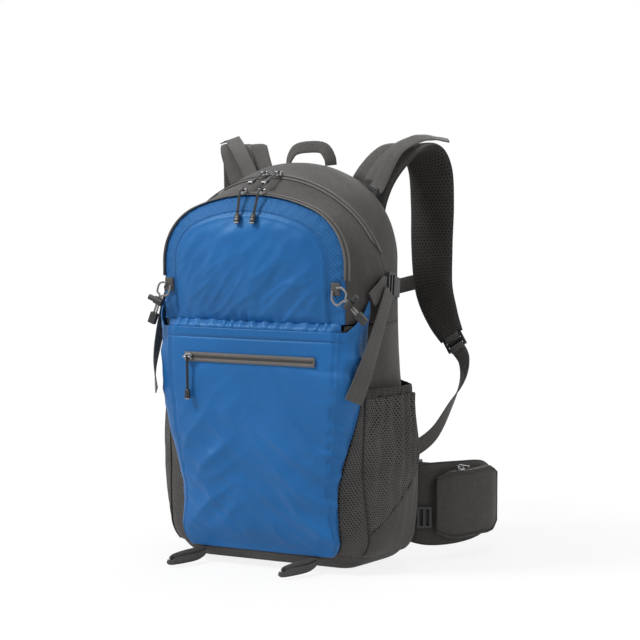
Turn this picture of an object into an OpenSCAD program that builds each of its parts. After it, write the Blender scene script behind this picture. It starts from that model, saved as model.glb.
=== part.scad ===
// Hiking daypack standing on its base.
// The front faces -Y, the wearer's back is towards +Y, +Z is up.
// The origin lies on the ground under the middle of the base.

/* [Body] */
// Overall width of the bag without its pockets
body_w = 298; // [270:1:330]
// Height of the rear arch above the ground
body_h = 510; // [480:1:560]
// Depth from the back wall to the edge of the front panel
body_d = 162; // [150:1:190]
// Width of the arched front panel
panel_w = 254; // [244:1:260]
// Height of the front panel's arch above the ground
panel_h = 470; // [460:1:478]
// Forward lean of the main zip's arch, in degrees
zip_lean = 7.5; // [4:0.5:9]
// How far the front panel swells out of its zip
panel_swell = 21; // [14:1:26]
// Height of the fold where the front flap hinges
fold_z = 312; // [300:1:322]
// Thickness of the sewn cloth panels
wall = 2.4; // [1.8:0.2:3]
// Gap left along each seam
seam = 0.3; // [0.2:0.05:0.5]

/* [Pockets] */
// Height of the stash pocket's hem
hem_z = 304; // [290:1:306]
// Depth of the stash pocket between its cloth and the bag
stash_gap = 7; // [6:0.5:10]
// Height of the mesh side pocket's opening
mesh_z = 222; // [190:1:240]
// How far the mesh side pocket swells
mesh_swell = 20; // [14:1:24]
// Thickness of the mesh cloth
mesh_t = 1.6; // [1.2:0.1:2]
// Height of the elastic hem on a side pocket
mesh_hem = 11; // [8:1:14]

/* [Zips] */
// Width of half a zip tape
tape_w = 6; // [5:0.5:8]
// Thickness of a zip tape
tape_t = 1.2; // [1:0.1:1.6]
// Length of the straight zip on the stash pocket
stash_zip_l = 184; // [150:1:190]
// Length of a zip slider
slider_l = 11; // [9:0.5:13]
// Width of a zip slider
slider_w = 9; // [8:0.5:11]
// Radius of the bail that carries a pull
bail_r = 0.9; // [0.7:0.1:1.2]
// Running gap round a slider and a bail
play = 0.4; // [0.3:0.05:0.6]
// Length of a cord pull, from its bail to its moulded end
pull_l = 40; // [30:1:46]

/* [Straps] */
// Width of a shoulder strap
strap_w = 62; // [54:1:68]
// Thickness of a shoulder strap's foam
strap_t = 13; // [10:1:15]
// Width of the wide webbing
web_w = 25; // [20:1:28]
// Width of the narrow webbing
web_s = 20; // [15:1:22]
// Thickness of webbing
web_t = 1.6; // [1.2:0.1:2]
// Height of the padded hip wing at its root
wing_h = 106; // [90:1:110]
// Thickness of the hip wing's padding
wing_t = 9; // [7:1:11]
// Thickness of the hip belt's zipped pocket
belt_pocket_t = 15; // [11:1:18]
// Rise of the haul loop above the bag
haul_rise = 29; // [22:1:36]

/* [Bungees] */
// Diameter of the elastic cord
bungee_d = 2.6; // [2:0.2:3]
// Radius of a cord lock's barrel
lock_r = 5; // [4.6:0.1:5.6]
// Travel of a cord lock's button
button_travel = 3.5; // [2.5:0.5:4]

/* [Hidden] */

// Colours of the materials
c_blue = [0.16, 0.40, 0.68];
c_gray = [0.33, 0.32, 0.31];
c_dark = [0.20, 0.20, 0.20];
c_tape = [0.42, 0.41, 0.40];
c_web = [0.50, 0.49, 0.48];
c_mesh = [0.26, 0.25, 0.25];
c_black = [0.06, 0.06, 0.06];
c_metal = [0.75, 0.75, 0.76];
c_cord = [0.70, 0.70, 0.68];

// Depth of the bag: the back wall and the edge of the front panel
y_back = body_d / 2 - 1;
y_front = y_back - body_d;
// Share of the depth at which the main zip runs round the bag
v_zip = 0.59;
half_w = body_w / 2;
zip_top = panel_h + 0.55 * (body_h - panel_h);
// Backward step of the lower front below the fold
toe_in = 20;

// Half width above and below, arch top, spring height, crown and base along the depth
up_w = [[0, half_w - 32], [0.06, half_w - 24], [0.16, half_w - 15], [0.3, half_w - 6], [0.45, half_w - 0.5],
    [v_zip, half_w], [0.8, half_w - 9], [0.92, half_w - 17], [1, panel_w / 2]];
low_w = [[0, half_w - 17], [0.06, half_w - 8], [0.16, half_w - 1], [0.4, half_w + 1],
    [0.6, half_w - 2], [0.8, half_w - 12], [0.9, half_w - 24], [1, half_w - 46]];
top_z = [[0, body_h - 13], [0.06, body_h - 4], [0.16, body_h], [0.3, body_h - 1],
    [v_zip, zip_top], [1, panel_h]];
spring_z = [[0, body_h - 0.82 * half_w], [0.3, body_h - 0.84 * half_w], [v_zip, zip_top - 0.9 * half_w],
    [1, panel_h - 0.33 * panel_w]];
crown_k = [[0, 1.16], [0.3, 1.1], [v_zip, 1.06], [1, 1.66]];
lean_a = [[0, 0], [0.3, zip_lean * 0.5], [v_zip, zip_lean], [1, 0]];
base_z = [[0, 12], [0.04, 6], [0.09, 2], [0.15, 0], [0.66, 0], [0.74, 2], [0.82, 6], [0.9, 11], [1, 19]];
base_r = [[0, 34], [0.5, 50], [0.8, 44], [1, 22]];
// Where the stash pocket is sewn to the side, from the ground to the wing's tip
edge_v = [[0, 0.97], [60, 0.985], [105, 0.985], [150, 0.95], [215, 0.87], [305, 0.81], [345, 0.81]];

function lerp(a, b, t) = a + (b - a) * t;
function clamp01(t) = min(1, max(0, t));
function smooth(t) = let (s = clamp01(t)) s * s * (3 - 2 * s);
function mirror_x(p) = [-p[0], p[1], p[2]];
function unit(p) = p / norm(p);
// Position of x among the knots, the slope at a knot, and a smooth curve through them
function knot_at(x, k, i = 0) = i >= len(k) - 2 || x < k[i + 1][0] ? i : knot_at(x, k, i + 1);
function slope(k, i) = let (a = max(0, i - 1), b = min(len(k) - 1, i + 1))
    (k[b][1] - k[a][1]) / (k[b][0] - k[a][0]);
function at(x, k) = let (
    i = knot_at(x, k), d = k[i + 1][0] - k[i][0], t = clamp01((x - k[i][0]) / d),
    p = k[i][1], q = k[i + 1][1], m = slope(k, i) * d, n = slope(k, i + 1) * d)
    p + t * m + t * t * (3 * (q - p) - 2 * m - n) + t * t * t * (2 * (p - q) + m + n);

// Shape of the bag: half width at a height, and depth with the toe-in of the lower front
function side_x(v, z) = lerp(at(v, low_w), at(v, up_w), smooth((z - 90) / 240));
function depth_y(v, z) = lerp(y_back, y_front, v)
    + (z < fold_z ? pow(v, 4) * toe_in * pow(1 - max(z, 0) / fold_z, 1.2) : 0);
function rise(v) = (at(v, top_z) - at(v, spring_z)) / cos(at(v, lean_a));
function crown(v) = at(v, crown_k) * at(v, up_w);
function shoulder(v) = let (a = at(v, up_w), h = rise(v), r = crown(v))
    (2 * r * h - a * a - h * h) / (2 * (r - a));
function arc_angle(w, v) = let (a = span(v)) w <= 0.25 ? a * w / 0.25 : a + (90 - a) * (w - 0.25) / 0.17;
function span(v) = asin((at(v, up_w) - shoulder(v)) / (crown(v) - shoulder(v)));
// Point of the bag's skin: u runs from the top (0) over the side (0.5 at the fold) to the base (1)
function form(u, v, off = 0) = let (
    w = abs(u), s = sign(u), a = at(v, up_w), zs = at(v, spring_z), lean = at(v, lean_a),
    r1 = crown(v), r2 = shoulder(v), al = span(v), y = depth_y(v, zs),
    zb = lookup(v, base_z), rb = at(v, base_r),
    f = w <= 0.25 ? al * w / 0.25 : al + (90 - al) * (w - 0.25) / 0.17)
    w <= 0.25 ? let (up = rise(v) - r1 + (r1 + off) * cos(f))
        [s * (r1 + off) * sin(f), y - up * sin(lean), zs + up * cos(lean)]
    : w <= 0.42 ? let (up = (r2 + off) * cos(f))
        [s * (a - r2 + (r2 + off) * sin(f)), y - up * sin(lean), zs + up * cos(lean)]
    : w <= 0.5 ? let (z = lerp(zs, fold_z, (w - 0.42) / 0.08)) [s * (side_x(v, z) + off), y, z]
    : w <= 0.8 ? let (z = lerp(fold_z, zb + rb, (w - 0.5) / 0.3))
        [s * (side_x(v, z) + off), depth_y(v, z), z]
    : w <= 0.92 ? let (g = 90 * (w - 0.8) / 0.12, z = zb + rb - (rb + off) * sin(g))
        [s * (side_x(v, zb + rb) - rb + (rb + off) * cos(g)), depth_y(v, z), z]
    : [s * (side_x(v, zb + rb) - rb) * (1 - w) / 0.08, depth_y(v, zb - off), zb - off];
// Position round the side of a height below the fold
function w_of(z, v) = 0.5 + 0.3 * (fold_z - z) / (fold_z - lookup(v, base_z) - at(v, base_r));
// Half width of the bag at a height, with the rounded base edge
function body_x(v, z) = let (zb = lookup(v, base_z), rb = at(v, base_r), d = max(0, zb + rb - z))
    side_x(v, max(z, zb + rb)) - rb + sqrt(max(0, rb * rb - d * d));

function span_list(a, b, n) = [for (i = [0:n]) lerp(a, b, i / n)];

// Closed cloth solid between two grids of points
module skin(outer, inner, flip = false) {
    m = len(outer);
    n = len(outer[0]);
    k = m * n;
    pts = concat([for (r = outer) for (p = r) p], [for (r = inner) for (p = r) p]);
    top = [for (i = [0:m - 2]) for (j = [0:n - 2]) let (a = i * n + j)
        each [[a, a + 1, a + n + 1], [a, a + n + 1, a + n]]];
    low = [for (i = [0:m - 2]) for (j = [0:n - 2]) let (a = k + i * n + j)
        each [[a, a + n + 1, a + 1], [a, a + n, a + n + 1]]];
    ends = [for (j = [0:n - 2]) let (b = (m - 1) * n + j)
        each [[j, j + k, j + k + 1], [j, j + k + 1, j + 1],
            [b, b + k + 1, b + k], [b, b + 1, b + k + 1]]];
    sides = [for (i = [0:m - 2]) let (a = i * n, b = i * n + n - 1)
        each [[a, a + n + k, a + k], [a, a + n, a + n + k],
            [b, b + k, b + n + k], [b, b + n + k, b + n]]];
    all = concat(top, low, ends, sides);
    polyhedron(pts, flip ? [for (f = all) [f[0], f[2], f[1]]] : all, convexity = 8);
}

// Closed solid through a row of rings
module loft(rings) {
    m = len(rings);
    n = len(rings[0]);
    walls = [for (i = [0:m - 2]) for (j = [0:n - 1])
        let (a = i * n + j, b = i * n + (j + 1) % n)
        each [[a, b + n, b], [a, a + n, b + n]]];
    first = [for (j = [1:n - 2]) [0, j, j + 1]];
    last = [for (j = [1:n - 2]) let (o = (m - 1) * n) [o, o + j + 1, o + j]];
    polyhedron([for (r = rings) for (p = r) p], concat(walls, first, last), convexity = 8);
}

// Smooth path through hand-placed points
function path_at(p, t) = let (
    n = len(p), i = min(n - 2, floor(t)), s = t - i,
    a = p[max(0, i - 1)], b = p[i], c = p[i + 1], d = p[min(n - 1, i + 2)],
    m = (c - a) / 2, k = (d - b) / 2)
    b + s * m + s * s * (3 * (c - b) - 2 * m - k) + s * s * s * (2 * (b - c) + m + k);
function path(p, per) = [for (i = [0:(len(p) - 1) * per]) path_at(p, i / per)];
function tangent(p, i) = unit(p[min(len(p) - 1, i + 1)] - p[max(0, i - 1)]);
// Cross-section of a flat strap: width along a, thickness along b
function flat_ring(c, a, b, w, t) = [
    c - a * w / 2 - b * t / 2, c + a * w / 2 - b * t / 2,
    c + a * w / 2 + b * t / 2, c - a * w / 2 + b * t / 2];
// Cross-section of a padded strap with soft edges
function soft_ring(c, a, b, w, t) = [for (i = [0:9]) let (
    g = 18 + i * 36, x = cos(g), y = sin(g))
    c + a * (w / 2) * sign(x) * pow(abs(x), 0.45) + b * (t / 2) * sign(y) * pow(abs(y), 0.8)];
// Ribbon along a path; the width runs along the given direction
function across(p, i, dir) = let (g = tangent(p, i)) unit(dir - g * (dir * g));
module ribbon(p, dir, w, t) {
    loft([for (i = [0:len(p) - 1]) let (a = across(p, i, dir))
        flat_ring(p[i], a, cross(tangent(p, i), a), w, t)]);
}
module turned_ribbon(p, dirs, w, t) {
    n = len(p) - 1;
    loft([for (i = [0:n]) let (a = across(p, i, path_at(dirs, i / n * (len(dirs) - 1))))
        flat_ring(p[i], a, cross(tangent(p, i), a), w, t)]);
}
module pad_ribbon(p, dirs, ws, ts) {
    n = len(p) - 1;
    loft([for (i = [0:n]) let (
        a = across(p, i, path_at(dirs, i / n * (len(dirs) - 1))),
        w = path_at(ws, i / n * (len(ws) - 1)), t = path_at(ts, i / n * (len(ts) - 1)))
        soft_ring(p[i], a, cross(tangent(p, i), a), w, t)]);
}
// Round cord along a path
module cord(p, d) {
    start = unit(cross(tangent(p, 0), [0.2, 1, 0.1]));
    loft([for (i = [0:len(p) - 1]) let (
        g = tangent(p, i), a = unit(start - g * (start * g)), b = cross(g, a))
        [for (j = [0:7]) p[i] + (a * cos(j * 45) + b * sin(j * 45)) * d / 2]]);
}
// Patch of cloth on the bag's skin
module patch(us, vs, out, in, flip = false) {
    skin([for (u = us) [for (v = vs) form(u, v, out)]], [for (u = us) [for (v = vs) form(u, v, in)]], flip);
}
module both() {
    children();
    mirror([1, 0, 0]) children();
}

// Rows used down the arch, and depth stations
arch_n = 18;
rear_vs = concat([0, 0.03, 0.06, 0.1, 0.16, 0.28], span_list(0.38, v_zip, 2));
flap_vs = [v_zip, 0.68, 0.78, 0.9, 1];
side_us = span_list(0.5, 0.8, 6);
side_vs = [0, 0.03, 0.06, 0.1, 0.16, 0.4, 0.6, 0.75, 0.85, 0.93, 1];
// Gap that parts two panels, as a share of the depth
slit = seam / body_d;

module upper_gusset() {
    color(c_gray) patch(span_list(-0.5, 0.5, 2 * arch_n), concat([for (v = rear_vs) min(v, v_zip - slit)]),
        0, -wall, true);
}
module side_panel_right() {
    color(c_gray) patch([for (u = side_us) lerp(u, 0.65, 0.004)], side_vs, 0, -wall, true);
}
module side_panel_left() {
    color(c_gray) mirror([1, 0, 0])
        patch([for (u = side_us) lerp(u, 0.65, 0.004)], side_vs, 0, -wall, true);
}
module base_panel() {
    us = span_list(0.8, 0.92, 5);
    grid = concat(us, [1], [for (i = [5:-1:0]) -us[i]]);
    color(c_gray) patch(grid, side_vs, 0, -wall, true);
}

// Rows of a wall that fills the arch outline at one depth
function fill_row(w, v, n, off, dy) = let (p = form(w, v, off))
    [for (j = [-n:n]) [p[0] * j / n, p[1] + dy, p[2]]];
module back_wall() {
    ws = concat(span_list(0, 0.42, 24), span_list(0.5, 0.8, 4), span_list(0.82, 0.92, 6));
    half = [for (w = ws) let (p = form(max(w, 0.0001), 0)) [p[0], p[2]]];
    other = [for (i = [len(half) - 1:-1:1]) [-half[i][0], half[i][1]]];
    color(c_gray) translate([0, y_back + seam + wall, 0]) rotate([90, 0, 0])
        linear_extrude(wall) polygon(concat(half, other));
}
// The lower front stands just ahead of the side panels' edge
function front_y(z) = depth_y(1, z) - seam;
module lower_front() {
    ws = concat([w_of(fold_z - 6, 1)], span_list(0.55, 0.8, 6), span_list(0.84, 0.92, 3));
    color(c_gray) skin([for (w = ws) fill_row(w, 1, 1, -2.5, -seam - wall)],
        [for (w = ws) fill_row(w, 1, 1, -2.5, -seam)]);
}
module frame_sheet() {
    w = body_w - 78;
    h = body_h - 118;
    color(c_dark) translate([0, y_back - seam, 40]) rotate([90, 0, 0]) linear_extrude(2)
        translate([-w / 2, 0]) union() {
            translate([30, 0]) square([w - 60, h]);
            translate([0, 30]) square([w, h - 60]);
            for (x = [30, w - 30], y = [30, h - 30]) translate([x, y]) circle(r = 30, $fn = 48);
        }
}

// Domed pad lying on the back wall, x and z give its two corners
rear_y = y_back + 2 * seam + wall;
module pad(x0, x1, z0, z1, t) {
    n = 6;
    m = 8;
    function edge(s) = 0.35 + 0.65 * pow(max(0, 1 - pow(abs(2 * s - 1), 4)), 0.5);
    function round_x(i) = 1 - 0.12 * pow(abs(2 * i / m - 1), 6);
    skin([for (i = [0:m]) [for (j = [0:n]) [
            lerp(x0, x1, 0.5 + (j / n - 0.5) * round_x(i)),
            rear_y + t * edge(j / n) * edge(i / m), lerp(z0, z1, i / m)]]],
        [for (i = [0:m]) [for (j = [0:n]) [
            lerp(x0, x1, 0.5 + (j / n - 0.5) * round_x(i)), rear_y, lerp(z0, z1, i / m)]]]);
}
module back_pads() {
    color(c_mesh) {
        both() pad(13, 92, 152, body_h - 100, 11);
        pad(-98, 98, 34, 138, 13);
    }
}

// Stash pocket: a cloth that wraps the lower front, with a wing up each side
stash_lo = 22;
tip_rise = 37;
// The wing's tip stands off the flap, which passes inside it when it opens
function edge_x(z) = body_x(at(z, edge_v), z) + seam + 2.9 * smooth((z - fold_z + 4) / 20);
function edge_y(z) = depth_y(at(z, edge_v), z);
function stash_y(z) = front_y(z) - wall - seam - 1
    - stash_gap * smooth((z - stash_lo) / 70) - 5 * sin(180 * clamp01((z - stash_lo) / (hem_z - stash_lo)));
function stash_n(z) = z < 80 ? lerp(7, 3, smooth((z - 25) / 55)) : lerp(3, 4.6, smooth((z - 80) / 180));
function stash_top(q) = hem_z + tip_rise * pow(clamp01((q - 0.62) / 0.38), 0.9);
function stash(q, r, t) = let (
    w = abs(q), z = lerp(stash_lo, stash_top(w), r), xb = edge_x(z) + t, yb = edge_y(z), yf = stash_y(z) - t,
    n = stash_n(z), k = 0.9, g1 = pow(1 - pow(k, n), 1 / n),
    g = w <= 0.6 ? pow(1 - pow(k * w / 0.6, n), 1 / n) : g1 * (1 - w) / 0.4,
    x = w <= 0.6 ? xb * k * w / 0.6 : xb * pow(1 - pow(g, n), 1 / n))
    [sign(q) * x, yb + (yf - yb) * g, z];
stash_qs = concat([for (i = [-13:-1]) i / 13], [for (i = [0:13]) i / 13]);
stash_rs = concat([0, 0.04], span_list(0.1, 1, 9));
module stash_pocket() {
    color(c_blue) skin([for (r = stash_rs) [for (q = stash_qs) stash(q, r, wall)]],
        [for (r = stash_rs) [for (q = stash_qs) stash(q, r, 0)]], true);
}

// Mesh side pocket
mesh_w0 = w_of(mesh_z, 0.5);
mesh_w1 = 0.85;
function mesh_swell_at(w, s) = let (k = (w - mesh_w0) / (mesh_w1 - mesh_w0))
    mesh_swell * pow(max(0, sin(180 * pow(s, 1.15))), 0.65) * (k < 0.35 ? lerp(0.72, 1, smooth(k / 0.35))
        : pow(max(0, 1 - pow((k - 0.35) / 0.65, 2)), 0.8));
function mesh_pt(w, s, t) = let (
    z = form(w, 0.9)[2], v = lerp(at(z, edge_v) - 0.012, 0.01, s))
    form(w, v, seam + t + mesh_swell_at(max(w, mesh_w0), s));
mesh_ss = [0, 0.05, 0.12, 0.22, 0.35, 0.5, 0.65, 0.78, 0.88, 0.95, 1];
module mesh_side() {
    ws = span_list(mesh_w0, mesh_w1, 8);
    hem_ws = [mesh_w0 - 0.0006 - 0.33 * mesh_hem / fold_z, mesh_w0 - 0.0006];
    color(c_mesh) skin([for (w = ws) [for (s = mesh_ss) mesh_pt(w, s, mesh_t)]],
        [for (w = ws) [for (s = mesh_ss) mesh_pt(w, s, 0)]]);
    color(c_dark) skin([for (w = hem_ws) [for (s = mesh_ss) mesh_pt(w, s, mesh_t + 0.8)]],
        [for (w = hem_ws) [for (s = mesh_ss) mesh_pt(w, s, 0)]]);
}
module side_pocket_right() {
    mesh_side();
}
module side_pocket_left() {
    mirror([1, 0, 0]) mesh_side();
}

// Front flap: its gusset and the divider that closes the main compartment
flap_us = [for (u = span_list(-0.5, 0.5, 2 * arch_n)) u * 0.997];
module flap_gusset() {
    color(c_gray) patch(flap_us, [for (v = flap_vs) max(v, v_zip + slit)], 0, -wall, true);
}
module flap_divider() {
    vd = v_zip + 0.03;
    n = 1;
    in = -wall - seam - 1.3;
    z1 = fold_z + 1;
    ws = concat([0.02], span_list(0.05, 0.42, 13), [0.46]);
    vs = [0.66, 0.74, 0.82, 0.9, 0.985];
    yd = depth_y(vd, z1);
    function floor_row(v, y, z) = [for (j = [-n:n]) [(side_x(v, fold_z) + in) * j / n, y, z]];
    rear = concat([for (w = ws) fill_row(w, vd, n, in, 0)], [floor_row(vd, yd, z1)],
        [for (v = vs) floor_row(v, depth_y(v, z1), z1)]);
    front = concat([for (w = ws) fill_row(w, vd, n, in, -wall)], [floor_row(vd, yd - wall, z1 + wall)],
        [for (v = vs) floor_row(v, depth_y(v, z1), z1 + wall)]);
    color(c_dark) skin(rear, front, true);
}

// Arched front panel with its swell
panel_face = y_front - seam - wall;
belly_h = 0.57 * (panel_h - fold_z);
function panel_belly(q, z) = let (t = (z - fold_z) / belly_h,
    s = (z - fold_z - belly_h) / (panel_h - fold_z - belly_h))
    panel_swell * (1 - pow(abs(q), 2.6))
    * (t < 1 ? 1 - pow(1 - max(t, 0), 2) : 1 - pow(clamp01(s), 2.4));
function panel_row(w, dy) = let (p = form(w, 1), n = 8) [for (j = [-n:n])
    [p[0] * j / n, y_front - seam - dy - panel_belly(j / n, p[2]), p[2]]];
module front_panel() {
    ws = concat([0.015, 0.04], span_list(0.08, 0.42, 10), [0.44, 0.46, 0.48, 0.4986]);
    color(c_blue) skin([for (w = ws) panel_row(w, wall)], [for (w = ws) panel_row(w, 0)]);
}

// Zip tapes: one half on each side of an opening
main_end = 0.33;
panel_end = 0.44;
tape_v = tape_w / body_d;
module main_zip_rear_tape() {
    color(c_tape) patch(span_list(-main_end, main_end, 30), [v_zip - tape_v, v_zip - slit],
        seam + tape_t, seam, true);
}
module flap_zip_tapes() {
    color(c_tape) {
        patch(span_list(-main_end, main_end, 30), [v_zip + slit, v_zip + tape_v], seam + tape_t, seam, true);
        patch(span_list(-panel_end, panel_end, 34), [1 - tape_v, 1], seam + tape_t, seam, true);
    }
}
module panel_zip_front_tape() {
    us = span_list(-panel_end, panel_end, 34);
    function edge(u, off) = let (p = form(u, 1, off))
        [[p[0], p[1] - seam, p[2]], [p[0], p[1] - seam - tape_w, p[2]]];
    color(c_tape) skin([for (u = us) edge(u, seam + tape_t)], [for (u = us) edge(u, seam)], true);
}
// Straight zip below the stash pocket's hem
stash_zip_z = hem_z - 37;
stash_zip_y = stash(0, (stash_zip_z - stash_lo) / (hem_z - stash_lo), wall)[1] - 2 * seam;
module stash_zip() {
    color(c_tape) translate([-stash_zip_l / 2, stash_zip_y - tape_t, stash_zip_z - tape_w])
        cube([stash_zip_l, tape_t, 2 * tape_w]);
}

// Zip slider: the zip runs along x, the cloth's outside is +z
plate_t = 1.8;
ring_r = bail_r + play + 1.1;
bail_z = plate_t + ring_r + 0.4;
module slider() {
    post = 1.6;
    color(c_metal) {
        linear_extrude(plate_t) union() {
            square([slider_l * 0.7, slider_w], center = true);
            square([slider_l, slider_w * 0.6], center = true);
        }
        for (s = [-1, 1]) translate([s * (slider_l / 2 - post / 2) - post / 2, -1.3, plate_t / 2])
            cube([post, 2.6, bail_z + bail_r + 0.3 - plate_t / 2]);
        translate([-slider_l / 2 + post / 2, 0, bail_z]) rotate([0, 90, 0])
            cylinder(r = bail_r, h = slider_l - post, $fn = 24);
    }
}
// Pull on a bail: a ring, a strip along hand-placed points and a moulded end, drawn in the y-z plane
module strip(a, b, w) {
    d = b - a;
    translate(a) rotate(atan2(d[1], d[0])) translate([0, -w / 2]) square([norm(d), w]);
}
module pull(pts) {
    n = len(pts) - 1;
    last = pts[n] - pts[n - 1];
    color(c_black) rotate([90, 0, 90]) {
        linear_extrude(2.4, center = true) difference() {
            union() {
                circle(r = ring_r, $fn = 32);
                for (i = [0:n - 1]) strip(pts[i], pts[i + 1], 2.2);
                for (i = [1:n - 1]) translate(pts[i]) circle(r = 1.3, $fn = 24);
            }
            circle(r = bail_r + play, $fn = 32);
        }
        linear_extrude(6, center = true) translate(pts[n]) rotate(atan2(last[1], last[0]))
            translate([-3, -2]) square([13, 4]);
    }
}
slider_off = seam + tape_t + play;
tape_give = 0.683;
// Angle at which each pair of sliders rests beside the top
rest_a = 3.5;
// Slope of the cloth across each zip at the top
main_tilt = let (p = form(0.001, v_zip - 0.03), q = form(0.001, v_zip + 0.03))
    atan2(p[2] - q[2], p[1] - q[1]);
front_slope = let (p = form(0.001, 0.97), q = form(0.001, 1)) atan2(p[2] - q[2], p[1] - q[1]);
panel_tilt = 0.364 * front_slope;
// Height at which a slider clears the step between the two tapes, less what their edges give
panel_lift = slider_w / 2 * (tan(front_slope) - tan(panel_tilt)) - tape_give;
module on_main(a) {
    translate([0, depth_y(v_zip, 400), at(v_zip, spring_z)]) rotate([zip_lean, 0, 0])
        translate([0, 0, rise(v_zip) - crown(v_zip)]) rotate([0, a, 0])
        translate([0, 0, crown(v_zip)]) rotate([main_tilt - zip_lean, 0, 0])
        translate([0, 0, slider_off + 0.2]) children();
}
module on_panel(a) {
    translate([0, y_front - seam / 2 - 1, panel_h - crown(1)]) rotate([0, a, 0])
        translate([0, 0, crown(1)]) rotate([panel_tilt, 0, 0])
        translate([0, 0, slider_off + panel_lift]) children();
}
module on_bail() {
    translate([0, 0, bail_z]) children();
}
main_pull = [[0, 0], [-10, 1], [-pull_l + 8, 1.5]];
// The panel's pulls hang clear of its swell
pull_gap = [7.74, 8.61];
pull_drop = pull_l * [0.32, 0.72];
panel_pull = concat([[0, 0], [-9, 0]], [for (i = [0, 1])
    [-panel_belly(0.06, panel_h - pull_drop[i]) - pull_gap[i], -pull_drop[i]]]);
stash_pull = [[0, 0], [-10, -0.5], [-pull_l * 1.1, -1]];
module main_zip_slider_left() {
    on_main(-rest_a) slider();
}
module main_zip_slider_right() {
    on_main(rest_a) slider();
}
module main_zip_pull_left() {
    on_main(-rest_a) on_bail() pull(main_pull);
}
module main_zip_pull_right() {
    on_main(rest_a) on_bail() pull(main_pull);
}
module panel_zip_slider_left() {
    on_panel(-rest_a) slider();
}
module panel_zip_slider_right() {
    on_panel(rest_a) slider();
}
module panel_zip_pull_left() {
    on_panel(-rest_a) on_bail() pull(panel_pull);
}
module panel_zip_pull_right() {
    on_panel(rest_a) on_bail() pull(panel_pull);
}
module at_stash_slider(off) {
    translate([-stash_zip_l / 2 + slider_l / 2 + 1, stash_zip_y - tape_t - play - off, stash_zip_z])
        rotate([90, 0, 0]) children();
}
module stash_zip_slider() {
    at_stash_slider(0) slider();
}
module stash_zip_pull() {
    at_stash_slider(bail_z) pull(stash_pull);
}

// Elastic bungees on the front panel's lower corners
tab_z = fold_z + 45;
tab_x = panel_w / 2 - 9.5;
tab_y = panel_face - panel_belly(0.87, tab_z) - seam;
module bungee_tabs() {
    color(c_web) both() translate([tab_x - 6, tab_y - 2.4, tab_z - 8]) cube([12, 2.4, 16]);
}
// Cord through its lock: two strands from the tab to the lock, then a turn at the cord end.
// Each list holds the right side first, then the left side, which hangs steeper.
tab_p = [tab_x, tab_y - 6, tab_z];
lock_offs = [[21, 0, -18], [13, 0, -22]];
cord_dirs = [unit([0.72, 0, -0.7]), unit([0.36, 0, -0.93])];
loop_out = [[[-2, 0, -13], [5, 0, -19]], [[-3, 0, -8], [1, 0, -14]]];
loop_back = [[[17, 0, -5], [11, 0, 2]], [[15, 0, -9], [11, 0, 1]]];
strand = bungee_d / 2 + 0.4;
function lock_dir(k) = [-cord_dirs[k][2], 0, cord_dirs[k][0]];
function lock_p(k) = tab_p + lock_offs[k];
function end_p(k) = lock_p(k) + cord_dirs[k] * 21;
function strand_at(k, d, s) = lock_p(k) + cord_dirs[k] * d + lock_dir(k) * s * strand;
function on_tab(x, z) = [tab_x + x, tab_y - 2.5 - bungee_d / 2, tab_z + z];
function bungee_pts(k) = [
    on_tab(-3, -2), tab_p + loop_out[k][0], tab_p + loop_out[k][1],
    strand_at(k, -8, -1), strand_at(k, 0, -1), strand_at(k, 10, -1), strand_at(k, 21, -1),
    strand_at(k, 23.4, 0),
    strand_at(k, 21, 1), strand_at(k, 10, 1), strand_at(k, 0, 1), strand_at(k, -8, 1),
    tab_p + loop_back[k][0], tab_p + loop_back[k][1], on_tab(3, 2)];
module bungee_cord_right() {
    color(c_cord) cord(path(bungee_pts(0), 2), bungee_d);
}
module bungee_cord_left() {
    color(c_cord) mirror([1, 0, 0]) cord(path(bungee_pts(1), 2), bungee_d);
}
// Frame with x along the cord and z along the lock's barrel
module at_lock(k, p) {
    c = cord_dirs[k];
    l = lock_dir(k);
    mirror([k, 0, 0]) multmatrix([[c[0], 0, l[0], p[0]], [0, 1, 0, p[1]], [c[2], 0, l[2], p[2]], [0, 0, 0, 1]])
        children();
}
barrel_h = 2 * strand + bungee_d + 6;
button_r = lock_r - 1.4;
cord_hole = bungee_d + 0.8;
module cord_lock_barrels() {
    color(c_black) for (k = [0, 1]) at_lock(k, lock_p(k)) difference() {
        translate([0, 0, -barrel_h / 2]) cylinder(r = lock_r, h = barrel_h, $fn = 48);
        cylinder(r = button_r + 0.3, h = barrel_h, $fn = 48);
        translate([-lock_r - 1, -cord_hole / 2, -strand - cord_hole / 2])
            cube([2 * lock_r + 2, cord_hole, 2 * strand + cord_hole]);
    }
}
button_z = strand + bungee_d / 2 + 0.4 + button_travel;
module lock_button(k) {
    color(c_black) at_lock(k, lock_p(k)) translate([0, 0, button_z]) cylinder(r = button_r, h = 8, $fn = 48);
}
module cord_lock_button_right() {
    lock_button(0);
}
module cord_lock_button_left() {
    lock_button(1);
}
module cord_ends() {
    h = 2 * strand + bungee_d + 1.2;
    color(c_black) for (k = [0, 1]) at_lock(k, end_p(k)) difference() {
        translate([-5, -3.2, -h / 2 - 1]) cube([14, 6.4, h + 2]);
        translate([-6, -bungee_d / 2 - 0.3, -h / 2]) cube([11.5, bungee_d + 0.6, h]);
    }
}

// Plastic slider with three bars: width along x, webbing along y
lock_bar = 3.4;
lock_slot = 4.6;
lock_l = 3 * lock_bar + 2 * lock_slot;
module ladder_lock(w) {
    color(c_black) translate([0, 0, -1.8]) linear_extrude(3.6) difference() {
        square([w + 8, lock_l], center = true);
        for (s = [-1, 1]) translate([0, s * (lock_bar + lock_slot) / 2])
            square([w + 1.5, lock_slot], center = true);
    }
}
module oriented(o, x, y) {
    z = cross(x, y);
    multmatrix([[x[0], y[0], z[0], o[0]], [x[1], y[1], z[1], o[1]], [x[2], y[2], z[2], o[2]], [0, 0, 0, 1]])
        children();
}

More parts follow.
